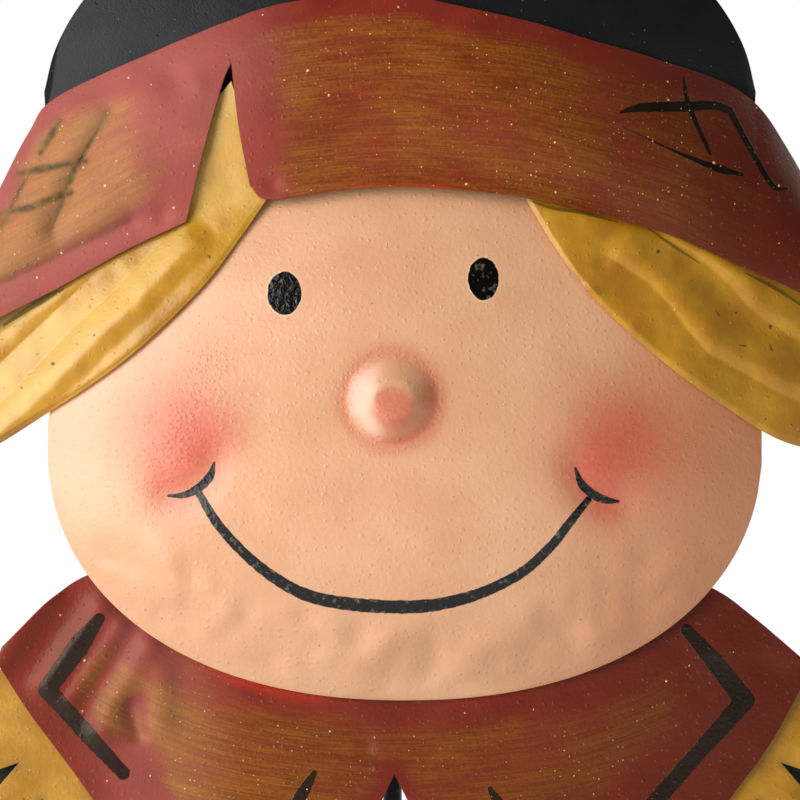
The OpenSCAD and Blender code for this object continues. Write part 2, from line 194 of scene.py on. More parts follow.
MM = 0.001
rod_paint = Paint("rod_paint", {"Specular IOR Level": 0.35})
rod_mottle = rod_paint.cloud(9)
rod_scuff = (rod_paint.cloud(2.5) + 0.5 * rod_paint.cloud(0.6)).above(0.86, 0.98)
rod_paint.ground(rod_mottle, (24, 24, 25), (46, 45, 44))
rod_paint.lay(0.5 * rod_scuff, (104, 96, 88))
rod_paint.cover(0.42 + 0.2 * rod_mottle, rod_paint.cloud(0.7), 0.12)
for rod in ("back_rod", "hat_bar", "shoulder_bar", "hip_bar", "ankle_bar", "ring_eye"):
    dress(rod, rod_paint)


# Welds on the rod
# Short beads of weld metal in the corners where the cross bars and the ring's
# eye meet the rod, left rippled by the torch and sprayed over with the rod.
rod_low, rod_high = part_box("back_rod")
rod_x, rod_r = (rod_low.x + rod_high.x) / 2, (rod_high.x - rod_low.x) / 2
bar_bead = (0.5 * rod_r, 0.6 * rod_r, 1.1 * rod_r)
eye_bead = (rod_r, 0.5 * rod_r, 0.6 * rod_r)
ripple_depth, weld_grain = 0.28, 1.5


def vectors(items, kind):
    """The places or facings of a mesh's vertices or faces, one row for each."""
    rows = np.empty(len(items) * 3)
    items.foreach_get(kind, rows)
    return rows.reshape(-1, 3)


def deselect():
    bpy.ops.object.select_all(action="DESELECT")


def rippled(piece, run, count, seed):
    """Raises count ripples along a bead, whose points lie at run from 0 to 1, and roughens it."""
    mesh = piece.data
    spots = vectors(mesh.vertices, "co")
    wave = np.abs(np.sin(np.pi * count * run(spots)))
    rough = [noise.noise(Vector(spot) / (weld_grain * MM) + Vector((seed, 0, 0))) for spot in spots]
    raised = ripple_depth * (wave - 0.5 + 0.6 * np.array(rough))
    spots += vectors(mesh.vertices, "normal") * raised[:, None] * MM
    mesh.vertices.foreach_set("co", spots.ravel())
    mesh.update()
    bpy.ops.object.shade_smooth()


def rod_weld(place, size, seed):
    """One bead with its middle at place, as large as size, along the longest way of size."""
    deselect()
    bpy.ops.mesh.primitive_uv_sphere_add(segments=32, ring_count=40, radius=1)
    piece = bpy.context.object
    piece.scale = size
    piece.location = place
    bpy.ops.object.transform_apply(location=True, rotation=True, scale=True)
    along = int(np.argmax(size))
    rippled(piece, lambda spots: (spots[:, along] - place[along]) / size[along] / 2 + 0.5, count=5, seed=seed)
    return piece


welds = []
for seed, bar in enumerate(("hat_bar", "shoulder_bar", "hip_bar", "ankle_bar")):
    bar_low, bar_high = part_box(bar)
    for side in (-1, 1):
        corner = Vector((rod_x + 0.95 * side * rod_r, bar_high.y, (bar_low.z + bar_high.z) / 2))
        welds.append(rod_weld(corner, bar_bead, 3 * seed + side))
eye_low, eye_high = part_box("ring_eye")
for side in (-1, 1):
    corner = Vector((rod_x, eye_low.y, (eye_low.z + eye_high.z) / 2 + side * 0.9 * rod_r))
    welds.append(rod_weld(corner, eye_bead, 20 + side))
deselect()
for piece in welds:
    piece.select_set(True)
bpy.ops.object.join()
rod_welds = bpy.context.object
rod_welds.name = "rod_welds"
rod_welds.data.materials.append(rod_paint.material)
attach(rod_welds, "figure")


# Hat crown
# A half dome of thin steel sheet, drawn in a press and welded to the hat bar
# by its open foot. It is painted charcoal black in front and, like every
# sheet of the figure, left in grey primer behind.
rod_above_nose = 126
nose_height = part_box("back_rod")[1].z / MM - rod_above_nose
sheet_t, edge_wear, edge_turn = 0.8, 0.24, np.radians(50)
seat = -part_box("hat_crown")[1].y / MM


def edge_through(points, share):
    """Places on a smooth edge through points (x, z). A third number marks a corner."""
    spots = np.array([point[:2] for point in points], float)
    step = np.diff(spots, axis=0)
    leaving = np.vstack([step, step[-1:]])
    arriving = np.vstack([step[:1], step])
    for i in range(1, len(points) - 1):
        if len(points[i]) == 2:
            leaving[i] = (spots[i + 1] - spots[i - 1]) / 2
            arriving[i] = leaving[i]
    far = share * len(step)
    i = np.minimum(far.astype(int), len(step) - 1)
    s = (far - i)[:, None]
    p, q, m, n = spots[i], spots[i + 1], leaving[i], arriving[i + 1]
    return p + m * s + (3 * (q - p) - 2 * m - n) * s ** 2 + (2 * (p - q) + m + n) * s ** 3


class Sheet:
    """A pressed sheet between two edges, first as its front face alone.

    x and z are each point's place in millimetres, u its share of the way along
    the edges, v from the first edge to the second, and rim its distance from
    the outline.
    """

    def __init__(self, node, first, second, grain, datum=nose_height):
        self.node = node
        self.datum = datum
        ends = [np.array([point[:2] for point in edge]) for edge in (first, second)]
        spans = np.maximum(*[np.hypot(*np.diff(end, axis=0).T) for end in ends])
        counts = np.maximum(2, np.ceil(spans / grain)).astype(int)
        share = [(k + np.arange(count) / count) / len(counts) for k, count in enumerate(counts)]
        share = np.concatenate([*share, [1.0]])
        low, high = edge_through(first, share), edge_through(second, share)
        cols = len(share) - 1
        rows = max(4, int(np.hypot(*(high - low).T).max() / grain))
        deselect()
        bpy.ops.mesh.primitive_grid_add(x_subdivisions=cols, y_subdivisions=rows, size=1)
        self.piece = bpy.context.object
        self.piece.name = node + "_sheet"
        self.mesh = self.piece.data
        spot = vectors(self.mesh.vertices, "co") + 0.5
        col = np.rint(spot[:, 0] * cols).astype(int)
        row = np.rint(spot[:, 1] * rows).astype(int)
        self.u = share[col]
        self.v = row / rows
        self.x, self.z = (low[col] + (high - low)[col] * self.v[:, None]).T
        on_rim = np.flatnonzero((col == 0) | (col == cols) | (row == 0) | (row == rows))
        tree = kdtree.KDTree(len(on_rim))
        for i in on_rim:
            tree.insert((self.x[i], self.z[i], 0), i)
        tree.balance()
        self.rim = np.array([tree.find((x, z, 0))[2] for x, z in zip(self.x, self.z)])

    def lumps(self, size, depth, seed):
        """Soft unevenness as deep as depth, in lumps about size wide."""
        spots = zip(self.x / size, self.z / size)
        return depth * np.array([noise.noise((x, z, seed)) for x, z in spots])

    def press(self, back, relief, flip=False):
        """Presses the sheet so that its back lies at back, with relief on top; flip mirrors it."""
        low, high = (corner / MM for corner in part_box(self.node))
        x = np.clip(-self.x if flip else self.x, low.x, high.x)
        z = np.clip(self.z + self.datum, low.z, high.z)
        place = np.stack([x, -(back + sheet_t + relief), z], axis=1) * MM
        self.mesh.vertices.foreach_set("co", place.ravel())
        self.mesh.update()
        if vectors(self.mesh.polygons, "normal")[:, 1].mean() > 0:
            bpy.ops.object.mode_set(mode="EDIT")
            bpy.ops.mesh.select_all(action="SELECT")
            bpy.ops.mesh.flip_normals()
            bpy.ops.object.mode_set(mode="OBJECT")

    def turned_left(self):
        """How far each point of the pressed sheet faces the viewer's left, from -1 to 1."""
        return -vectors(self.mesh.vertices, "normal")[:, 0]

    def store(self, name, values):
        """Keeps one number for each point, for the paint to read."""
        kept = self.mesh.attributes.new(name, "FLOAT", "POINT")
        kept.data.foreach_set("value", values.astype(np.float32))

    def store_vectors(self, name, rows):
        """Keeps three numbers for each point, for the paint to read."""
        kept = self.mesh.attributes.new(name, "FLOAT_VECTOR", "POINT")
        kept.data.foreach_set("vector", rows.astype(np.float32).ravel())

    def flow(self, along, across):
        """Keeps each point's place along and across the way that a brush went."""
        self.store_vectors("flow", np.stack([along, across, np.zeros(len(along))], axis=1))

    def finish(self, paint, slot):
        """Gives the sheet its thickness, its dulled edges, its paint and its body."""
        for material in (paint.material, back_paint.material):
            self.mesh.materials.append(material)
        wall = self.piece.modifiers.new("wall", "SOLIDIFY")
        wall.thickness = sheet_t * MM
        wall.offset = -1
        wall.material_offset = 1
        dulled = self.piece.modifiers.new("dulled", "BEVEL")
        dulled.width = edge_wear * MM
        dulled.segments = 2
        dulled.limit_method = "ANGLE"
        dulled.angle_limit = edge_turn
        bpy.context.view_layer.objects.active = self.piece
        for modifier in ("wall", "dulled"):
            bpy.ops.object.modifier_apply(modifier=modifier)
        bpy.ops.object.shade_smooth_by_angle(angle=edge_turn)
        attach(self.piece, "figure")
        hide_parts(self.node)


def dome(r, power):
    return 1 - np.minimum(r, 1) ** power


def arch(t):
    return dome(np.abs(2 * t - 1), 2.5)


def swell(value, low, high):
    """0 up to low, 1 from high, and smooth between the two."""
    t = np.clip((value - low) / (high - low), 0, 1)
    return t * t * (3 - 2 * t)


back_paint = Paint("back_paint", {"Specular IOR Level": 0.3})
back_runs = back_paint.streaks(back_paint.place, (1, 1, 0.25), 2.0, 1 / (6 * MM))
back_rust = (back_paint.cloud(22, 4.0) + 0.3 * back_paint.cloud(1.5)).above(0.74, 0.86)
back_paint.ground(back_runs.above(0.3, 0.7), (64, 62, 59), (80, 77, 73))
back_paint.lay(0.5 * back_rust, (104, 72, 50))
back_paint.cover(0.48 + 0.16 * back_paint.cloud(14), back_paint.cloud(0.9) + 0.2 * back_runs, 0.2)

crown_half_w, crown_mid_z, crown_half_h = 96, 77, 66
crown_foot_z, crown_rise = 66, 16
run_out_from, run_out_to = 80, 100


def crown_back(x, z):
    """A dome over the foot that runs out to the crown's edge higher up."""
    tall = crown_mid_z + crown_half_h - crown_foot_z
    from_foot = np.hypot(x / crown_half_w, (z - crown_foot_z) / tall)
    from_mid = np.hypot(x / crown_half_w, np.maximum(z - crown_mid_z, 0) / crown_half_h)
    higher = swell(z, run_out_from, run_out_to)
    return seat + crown_rise * dome(from_foot + (from_mid - from_foot) * higher, 2)


crown_turns = np.radians(np.arange(5, 180, 10))
crown_arc = [(-crown_half_w * np.cos(t), crown_mid_z + crown_half_h * np.sin(t)) for t in crown_turns]
crown_foot = [(0.99 * x, crown_foot_z) for x, z in crown_arc]
crown = Sheet("hat_crown", crown_foot, crown_arc, grain=1.2)
crown.press(crown_back(crown.x, crown.z), crown.lumps(30, 0.6, 1) + crown.lumps(11, 0.12, 2))
black_paint = Paint("black_paint", {"Specular IOR Level": 0.32})
black_mottle = black_paint.cloud(12)
black_dust = black_paint.specks(3.0, 0.22, 0.12)
black_pits = black_paint.specks(8.0, 0.7, 0.25)
black_paint.ground(black_mottle, (12, 12, 13), (22, 22, 23))
black_paint.lay(0.5 * black_dust, (150, 146, 138))
black_paint.cover(0.4 + 0.14 * black_mottle, 0.8 * black_paint.cloud(0.6) + black_dust - black_pits, 0.12)
crown.finish(black_paint, "black_paint")


# Shirt and sleeves
# Three dark green sheets welded to the shoulder bar, with soft pressed folds.
# A lighter green is dragged over them with a nearly dry brush.
class Route:
    """How places on a sheet lie to a line through points (x, z, width).

    aside is a place's distance to the left of the way along the line, past how far
    it lies beyond the line's ends, far its distance, and width the line's there.
    """

    def __init__(self, sheet, points):
        count = len(sheet.x)
        self.aside, self.past, self.width = np.zeros((3, count))
        self.far = np.full(count, 1e9)
        for k, (a, b) in enumerate(zip(points, points[1:])):
            length = np.hypot(b[0] - a[0], b[1] - a[1])
            dx, dz = (b[0] - a[0]) / length, (b[1] - a[1]) / length
            along = (sheet.x - a[0]) * dx + (sheet.z - a[1]) * dz
            aside = (sheet.z - a[1]) * dx - (sheet.x - a[0]) * dz
            apart = np.hypot(aside, np.maximum(np.maximum(-along, along - length), 0))
            before = -along if k == 0 else np.full(count, -1.0)
            after = along - length if k == len(points) - 2 else np.full(count, -1.0)
            past = np.maximum(before, after)
            near = apart < self.far
            self.aside[near] = np.where(past > 0, aside, np.sign(aside) * apart)[near]
            self.past[near] = past[near]
            self.far[near] = apart[near]
            if len(a) == 3:
                self.width[near] = (a[2] + (b[2] - a[2]) * np.clip(along / length, 0, 1))[near]


def eased(value, ease):
    """value above 0 and 0 below it, with a soft turn about as long as ease."""
    return ease * np.logaddexp(0, value / ease)


def groove(sheet, points, width, depth):
    """A pressed line along a route, width wide. A depth below 0 makes a ridge."""
    return -depth * np.exp(-(2 * Route(sheet, points).far / width) ** 2)


def crease(sheet, points, width, depth):
    """A sharp pressed line along a route, with sides that rise over about width, and a band on its left side
    where shade is painted.
    """
    route = Route(sheet, points)
    crease_shade = swell(route.past, 3, -1) * swell(route.aside, 0.9 * width, 0.5) * swell(route.aside, -1.2, 0.6)
    return -depth * np.exp(-2 * eased(route.far - 0.4, 0.25) / width), crease_shade


def dent(sheet, x, z, size, depth):
    """A round pressed spot. A depth below 0 makes a boss."""
    return -depth * np.exp(-(np.hypot(sheet.x - x, sheet.z - z) / size) ** 2)


def brushed_line(points):
    """A stroke's points (x, z, width) with a smooth curve between them. A fourth number marks a corner."""
    share = np.linspace(0, 1, 5 * len(points))
    width = np.interp(share, np.linspace(0, 1, len(points)), [point[2] for point in points])
    return np.column_stack([edge_through([point[:2] + point[3:] for point in points], share), width])


def draw_strokes(sheet, name, strokes):
    """Stores brush strokes for the paint to read. Under one name they stay apart."""
    marks = np.zeros((len(sheet.x), 3))
    marks[:, 2] = -1
    nearest = np.full(len(sheet.x), 4.0)
    for points in strokes:
        route = Route(sheet, brushed_line(points))
        near = route.far < nearest
        marks[near] = np.stack([route.aside, route.past, route.width / 2], axis=1)[near]
        nearest[near] = route.far[near]
    sheet.store_vectors(name, marks)


def strokes_in(paint, name, soft=0.25):
    """Where the strokes under a name cover the paint. Their ends are round, their edges ragged and soft."""
    mark = paint.node("ShaderNodeSeparateXYZ", None, {"Vector": paint.stored(name, "Vector")})
    past, half = mark.other("Y").most(0.0), mark.other("Z")
    ragged = half * (0.85 + 0.3 * paint.cloud(1.4)) - (mark * mark + past * past).root()
    return ragged.above(0.0, soft)


green_paint = Paint("green_paint", {"Specular IOR Level": 0.4})
green_flow = green_paint.node("ShaderNodeTexCoord", out="UV")
green_mottle = green_paint.cloud(18)
green_drag = green_paint.streaks(green_flow, (60, 7, 1), 4.0)
green_dust = green_paint.specks(2.8, 0.26, 0.14)
green_paint.ground(green_mottle, (30, 42, 31), (46, 62, 44))
green_paint.lay(0.6 * green_drag.above(0.52, 0.72), (92, 104, 66))
green_paint.lay(strokes_in(green_paint, "ink"), (22, 24, 20))
green_paint.lay(0.5 * green_dust, (170, 160, 120))
green_paint.cover(0.42 + 0.16 * green_mottle, green_paint.cloud(0.7) + green_dust, 0.1)

shirt_rise = 6
shirt_hem = [(-72, -318), (-46, -324), (-22, -325), (0, -325), (22, -325), (46, -324), (72, -318)]
shirt_top = [(-66, -98), (-46, -86, 1), (-16, -92, 1), (0, -124, 1), (16, -92, 1), (46, -86, 1), (66, -98)]
shirt = Sheet("shirt", shirt_hem, shirt_top, grain=1.4)
shirt_folds = [[(-30, -322), (-36, -292), (-33, -262)], [(-8, -322), (-13, -300), (-12, -284)],
               [(18, -322), (15, -296), (19, -272)], [(44, -320), (47, -288), (42, -258)],
               [(-58, -190), (-40, -214), (-20, -226)], [(60, -186), (42, -208), (24, -218)]]
shirt_relief = shirt.lumps(30, 0.7, 11) + shirt.lumps(8, 0.1, 12)
for fold in shirt_folds:
    shirt_relief += groove(shirt, fold, width=7, depth=1.1)
for button_z in (-190, -232, -274):
    shirt_relief += dent(shirt, 0, button_z, size=4.5, depth=-1.6)
shirt_relief += groove(shirt, [(-9, -130), (-9, -324)], width=2.5, depth=0.5)
shirt.press(seat + shirt_rise * arch(shirt.u) * arch(shirt.v), shirt_relief)
draw_strokes(shirt, "ink", [[(9, -150, 1.2), (9.5, -230, 2.4), (9, -316, 1.6)]])
shirt.finish(green_paint, "green_paint")

sleeve_rise = 4
sleeve_seat = -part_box("sleeve_left")[1].y / MM
sleeve_under = [(-132, -209), (-112, -182), (-92, -158), (-70, -140)]
sleeve_over = [(-173, -165), (-140, -126), (-104, -96), (-70, -88)]
cuff_line = [(-128, -203), (-147, -180), (-167, -158)]
for side, seed in (("left", 21), ("right", 25)):
    sleeve = Sheet("sleeve_" + side, sleeve_under, sleeve_over, grain=1.2)
    sleeve_relief = sleeve.lumps(22, 0.7, seed) + sleeve.lumps(7, 0.1, seed + 1)
    sleeve_relief += groove(sleeve, cuff_line, width=3, depth=0.7)
    for fold in ([(-112, -170), (-116, -150), (-126, -136)], [(-96, -150), (-98, -130), (-104, -112)]):
        sleeve_relief += groove(sleeve, fold, width=6, depth=0.9)
    sleeve.press(sleeve_seat + sleeve_rise * arch(sleeve.v), sleeve_relief, flip=side == "right")
    draw_strokes(sleeve, "ink", [[(-124, -198, 1.2), (-142, -176, 2.2), (-162, -153, 1.4)]])
    sleeve.finish(green_paint, "green_paint")


# Straw hands
# Fans of straw points cut from sheet with snips, each point creased along its
# middle. They are tucked in behind the cuffs and painted straw yellow.
straw_paint = Paint("straw_paint", {"Specular IOR Level": 0.75, "Specular Tint": (1, 0.93, 0.8, 1)})
straw_mottle = straw_paint.cloud(11)
straw_smudge = straw_paint.specks(10, 0.45, 0.3).most(0.8 * strokes_in(straw_paint, "ink"))
straw_dust = straw_paint.specks(2.6, 0.2, 0.14)
straw_nibs = straw_paint.specks(3.4, 0.5, 0.35, 0.0)
straw_paint.ground(straw_mottle.above(0.3, 0.7), (184, 124, 14), (206, 148, 26))
straw_paint.lay(0.22 * straw_paint.cloud(6).above(0.5, 0.72), (150, 104, 16))
# Pale colour where a painted highlight is stored.
straw_paint.lay(straw_paint.stored("painted_highlight"), (248, 212, 128))
# Dark colour where painted shade is stored.
straw_paint.lay(straw_paint.stored("straw_painted_shade"), (92, 70, 22))
straw_paint.lay(0.8 * straw_smudge, (50, 58, 28))
straw_paint.lay(0.5 * straw_dust, (246, 226, 168))
straw_paint.cover(0.34 + 0.1 * straw_mottle,
                  0.5 * straw_paint.cloud(1.1) + 0.5 * straw_dust + 0.6 * straw_nibs, 0.24)


def straw_fan(node, start, stop, points, tuck, root, reach, datum=nose_height):
    """Straw points square to the line from start to stop, with crest 1 along each point's middle."""
    start, stop = np.array(start, float), np.array(stop, float)
    way = stop - start
    out = np.array([-way[1], way[0]]) / np.hypot(*way)
    half_way = way / (2 * points)
    stations = [(start + half_way * i, root if i % 2 == 0 else reach) for i in range(2 * points + 1)]
    inner = [(*(spot - out * tuck), 1) for spot, length in stations]
    outer = [(*(spot + out * length), 1) for spot, length in stations]
    fan = Sheet(node, inner, outer, grain=1.0, datum=datum)
    fan.crest = 1 - np.abs((fan.u * 2 * points) % 2 - 1)
    fan.past_root = fan.v * (tuck + root + (reach - root) * fan.crest) - tuck - root
    return fan


def finish_straw(fan, back, seed, flip):
    """Rounds the points and twists each a little, and lays painted shade at the foot of each cut and a little
    over the whole fan.
    """
    relief = 0.8 * fan.crest * swell(fan.past_root, -3, 10) + fan.lumps(13, 0.4, seed)
    fan.press(back, relief, flip)
    fan.store("straw_painted_shade", 0.14 + 0.36 * swell(1 - fan.crest, 0.6, 1) * swell(fan.past_root, -2, 1))
    fan.finish(straw_paint, "straw_paint")


hand_margin, hand_tuck, hand_root, hand_reach, hand_points = 0.12, 10, 8, 34, 5
layer_gap = 0.5
cuff_low, cuff_high = np.array(sleeve_under[0]), np.array(sleeve_over[0])
cuff = cuff_high - cuff_low
for side, seed in (("left", 31), ("right", 33)):
    hand = straw_fan("straw_hand_" + side, cuff_low + cuff * hand_margin, cuff_high - cuff * hand_margin,
                     hand_points, hand_tuck, hand_root, hand_reach)
    under_cuff = hand_margin + (1 - 2 * hand_margin) * hand.u
    finish_straw(hand, seat - layer_gap + 0.9 * sleeve_rise * arch(under_cuff), seed, side == "right")


# Ankle straw
# The same cut straw at the feet, standing out from behind each trouser hem
# and lying over the top of the boot.
ankle_in, ankle_out, ankle_tuck, ankle_root, ankle_reach, ankle_points = 13, 58, 14, 6, 22, 5
boot_h, boot_rise, ankle_gap = 48, 5, 14
hem_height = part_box("straw_ankle_left")[1].z / MM - ankle_tuck
ankle_tip_seat = seat + boot_rise * arch((ankle_reach - ankle_gap) / boot_h) + sheet_t + layer_gap


def ankle_back(z):
    share = (z - hem_height + ankle_reach) / (ankle_reach + ankle_tuck)
    return ankle_tip_seat + (seat + layer_gap - ankle_tip_seat) * share


for side, seed in (("left", 41), ("right", 43)):
    ankle = straw_fan("straw_ankle_" + side, (-ankle_in, hem_height), (-ankle_out, hem_height), ankle_points,
                      ankle_tuck, ankle_root, ankle_reach, datum=0)
    finish_straw(ankle, ankle_back(ankle.z), seed, side == "right")


# Trouser legs
# Two brick red sheets bulged like half tubes. Dull gold is rubbed over the red
# with a nearly dry brush, and a patch is marked on each knee in dark strokes.
def rubbed_red(name):
    """Brick red paint, with dull gold dragged along the stored flow where rub is above 0.

    It also lays dark colour where a painted shade is stored, and pale, chalkier colour where a painted
    highlight is stored.
    """
    paint = Paint(name, {"Specular IOR Level": 0.42, "Specular Tint": (1, 0.8, 0.62, 1)})
    flow = paint.stored("flow", "Vector")
    mottle = paint.cloud(16)
    hairs = paint.streaks(flow, (0.09, 2.2, 1), 2.0)
    smear = paint.streaks(flow, (0.05, 0.5, 1), 3.0)
    patch = paint.streaks(flow, (0.045, 0.085, 1), 3.0)
    grain = paint.cloud(0.8, 2.0)
    paint.ground(mottle.above(0.3, 0.7), (122, 33, 18), (142, 42, 27))
    # A bright red line where one is stored is painted light, thrown up from the face.
    paint.lay(paint.stored("painted_reflection"), (200, 48, 24))
    thick = (0.45 * hairs + 0.3 * smear + 0.25 * grain).above(0.39, 0.61)
    brushed = (paint.stored("rub") + 0.25 * hairs + 0.35 * smear + 0.25 * grain + 2.2 * patch).above(1.6, 2.9)
    paint.lay(0.9 * brushed, paint.mix(thick, (117, 54, 8), (154, 87, 15)))
    # Dark colour laid where shade is stored: painted shade.
    paint.lay(paint.stored("painted_shade") * (0.65 + 0.7 * mottle), (56, 17, 6))
    # Pale colour laid where a highlight is stored: a painted highlight, which also makes the paint rougher.
    painted_highlight = paint.stored("painted_highlight")
    paint.lay(painted_highlight, paint.mix(brushed, (221, 132, 126), (231, 174, 118)))
    stitch = strokes_in(paint, "stitch", 1.5).most(strokes_in(paint, "stitch_across", 1.5))
    paint.lay(0.8 * stitch, paint.mix(paint.cloud(3.5).above(0.4, 0.65), (44, 46, 34), (110, 92, 30)))
    ink = strokes_in(paint, "ink").most(strokes_in(paint, "ink_across"))
    paint.lay(0.95 * ink, paint.mix(paint.cloud(5).above(0.4, 0.6), (8, 8, 8), (14, 16, 10)))
    dust = paint.specks(1.3, 0.18, 0.16) * paint.cloud(6).above(0.42, 0.62) * (0.12 + brushed).least(1.0)
    flakes = paint.specks(6, 0.3, 0.12)
    paint.lay(0.9 * dust.most(flakes), (250, 220, 148))
    nibs = paint.specks(3.0, 0.5, 0.35, 0.0)
    # Paler tops of the nibs are a painted highlight.
    paint.lay(0.05 * nibs * (1 - ink), (226, 150, 122))
    paint.cover(0.36 + 0.08 * mottle + 0.5 * painted_highlight * (1 - ink) - 0.06 * ink,
                0.2 * hairs * brushed + 0.5 * paint.cloud(1.1) + 0.65 * nibs + 0.4 * flakes + 0.3 * ink, 0.24)
    return paint


trouser_paint = rubbed_red("trouser_paint")
leg_in_top, leg_in_hem, leg_out, hem_dip, trouser_rise = 4, 8, 68, 3, 7
leg_mid, patch_half_h = (leg_out + leg_in_hem) / 2, 14
trouser_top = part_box("trouser_leg_left")[1].z / MM
trouser_hem_out = ankle_back(hem_height - hem_dip) + sheet_t + layer_gap
trouser_hem = [(-leg_out, hem_height), (-leg_mid, hem_height - hem_dip), (-leg_in_hem, hem_height)]
trouser_waist = [(x, trouser_top) for x in (-leg_out, -(leg_out + leg_in_top) / 2, -leg_in_top)]
hem_line = [(-leg_out, hem_height + 9), (-leg_mid, hem_height + 6), (-leg_in_hem, hem_height + 9)]
trouser_folds = [[(-20, 228), (-30, 212), (-48, 204)], [(-60, 120), (-44, 112), (-28, 114)],
                 [(-14, 104), (-30, 96), (-52, 98)], [(-54, 250), (-52, 232), (-56, 216)]]
for side, seed, patch_z in (("left", 51, 172), ("right", 55, 150)):
    leg = Sheet("trouser_leg_" + side, trouser_hem, trouser_waist, grain=1.3, datum=0)
    leg_relief = leg.lumps(28, 0.8, seed) + leg.lumps(8, 0.12, seed + 1)
    leg_relief += groove(leg, hem_line, width=3, depth=0.7)
    for fold in trouser_folds:
        leg_relief += groove(leg, fold, width=7, depth=1.0)
    leg.press(trouser_hem_out + (seat - trouser_hem_out) * leg.v + trouser_rise * arch(leg.u) * arch(leg.v),
              leg_relief, flip=side == "right")
    leg.flow(leg.z, leg.x)
    leg.store("rub", swell(leg.rim, 2, 14) * (0.55 + leg.lumps(30, 0.5, seed + 2)))
    top, foot = patch_z + patch_half_h, patch_z - patch_half_h
    draw_strokes(leg, "ink", [[(-54, top, 1.4), (-26, top - 2, 2.6)],
                              [(-53, foot, 2.6), (-24, foot + 2, 1.4)]])
    draw_strokes(leg, "ink_across", [[(-52, top + 5, 2.4), (-50, foot - 4, 1.6)],
                                     [(-28, top + 3, 1.6), (-29, foot - 5, 2.4)]])
    leg.finish(trouser_paint, "brick_red_paint")


# Boots
# Charcoal black sheets with round toes that point outwards, with a pressed
# line above the sole and one across the toe.
boot_in, boot_shaft, boot_toe, toe_h = 12, 40, 88, 27
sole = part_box("boot_left")[0].z / MM
shaft_x, toe_x = -boot_in - boot_shaft, -boot_in - boot_toe
instep = sole + toe_h + 6
boot_sole = [(toe_x, sole + 3), (toe_x + 12, sole, 1), (shaft_x - 12, sole), (shaft_x, sole),
             (-boot_in, sole)]
boot_upper = [(toe_x + 0.5, sole + 10), (toe_x + 12, sole + toe_h), (shaft_x - 8, instep),
              (shaft_x, sole + boot_h, 1), (-boot_in, sole + boot_h)]
welt = [(toe_x, sole + 9), (toe_x + 14, sole + 6), (-boot_in, sole + 6)]
toe_line = [(toe_x + 24, sole + 7), (toe_x + 27, sole + 20), (toe_x + 22, instep)]
boot_folds = [[(-48, sole + 34), (-38, sole + 30), (-28, sole + 31)],
              [(-46, sole + 24), (-34, sole + 21), (-26, sole + 23)]]
for side, seed in (("left", 61), ("right", 64)):
    boot = Sheet("boot_" + side, boot_sole, boot_upper, grain=1.0, datum=0)
    boot_relief = boot.lumps(15, 0.5, seed) + groove(boot, welt, width=2.4, depth=0.8)
    boot_relief += groove(boot, toe_line, width=2.4, depth=0.6)
    for fold in boot_folds:
        boot_relief += groove(boot, fold, width=4, depth=0.7)
    boot.press(seat + boot_rise * arch(boot.v) * arch(boot.u), boot_relief, flip=side == "right")
    boot.finish(black_paint, "black_paint")


# Belt
# A flat band over the seam of shirt and trousers, pressed with slanting
# ridges like a twist of straw rope and painted straw yellow.
belt_half_w, belt_h, twist = 75, 16, 9
belt_seat = -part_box("belt")[1].y / MM
belt_low_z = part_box("belt")[0].z / MM
belt_xs = [-belt_half_w, -belt_half_w / 3, belt_half_w / 3, belt_half_w]
belt_foot = [(x, belt_low_z) for x in belt_xs]
belt_top = [(x, belt_low_z + belt_h) for x in belt_xs]
belt = Sheet("belt", belt_foot, belt_top, grain=0.7, datum=0)
strand = np.abs(np.sin(np.pi * (belt.x + 0.6 * belt.z + belt.lumps(20, 3, 71)) / twist))
belt_relief = 0.9 * strand ** 0.6 * swell(belt.rim, 0, 2.5) + 0.5 * arch(belt.v)
belt.press(np.full(len(belt.x), belt_seat), belt_relief)
# Darker colour painted in the grooves between the strands is painted shade.
belt.store("straw_painted_shade", 0.75 * swell(0.3 - strand, 0, 0.25) * swell(belt.rim, 0.5, 2))
belt.finish(straw_paint, "straw_paint")


# Shoulder ruffs
# Two more fans of straw-yellow sheet cut into points, which show below the
# collar's outer edges and are welded to the collar's back.
collar_half_w, collar_rise = 110, 4
ruff_start, ruff_stop = (-54, -150), (-107, -72)
ruff_points, ruff_tuck, ruff_root, ruff_reach = 8, 16, 10, 32
collar_seat = -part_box("collar")[1].y / MM


def collar_back(x):
    return collar_seat + collar_rise * dome(np.abs(x) / collar_half_w, 2)


for side, seed in (("left", 81), ("right", 84)):
    ruff = straw_fan("straw_ruff_" + side, ruff_start, ruff_stop, ruff_points,
                     ruff_tuck, ruff_root, ruff_reach)
    finish_straw(ruff, collar_back(ruff.x) - layer_gap - sheet_t, seed, side == "right")


# Collar
# One brick red sheet with two pointed lapels and pressed ribs at one end, rubbed
# with dull gold and marked with charcoal strokes. The chin lies over its middle.
face_mid_x, face_mid_z, face_half_w, chin_half_h, brow_half_h = 1.3, -11.2, 95.5, 69, 74
jaw_power = 2.2


def face_r(x, z):
    """1 on the outline of the face, less inside it."""
    across, up = np.abs(x - face_mid_x) / face_half_w, (z - face_mid_z) / brow_half_h
    down = np.maximum(face_mid_z - z, 0) / chin_half_h
    jaw = (across ** jaw_power + down ** jaw_power) ** (1 / jaw_power)
    return np.where(z > face_mid_z, np.hypot(across, up), jaw)


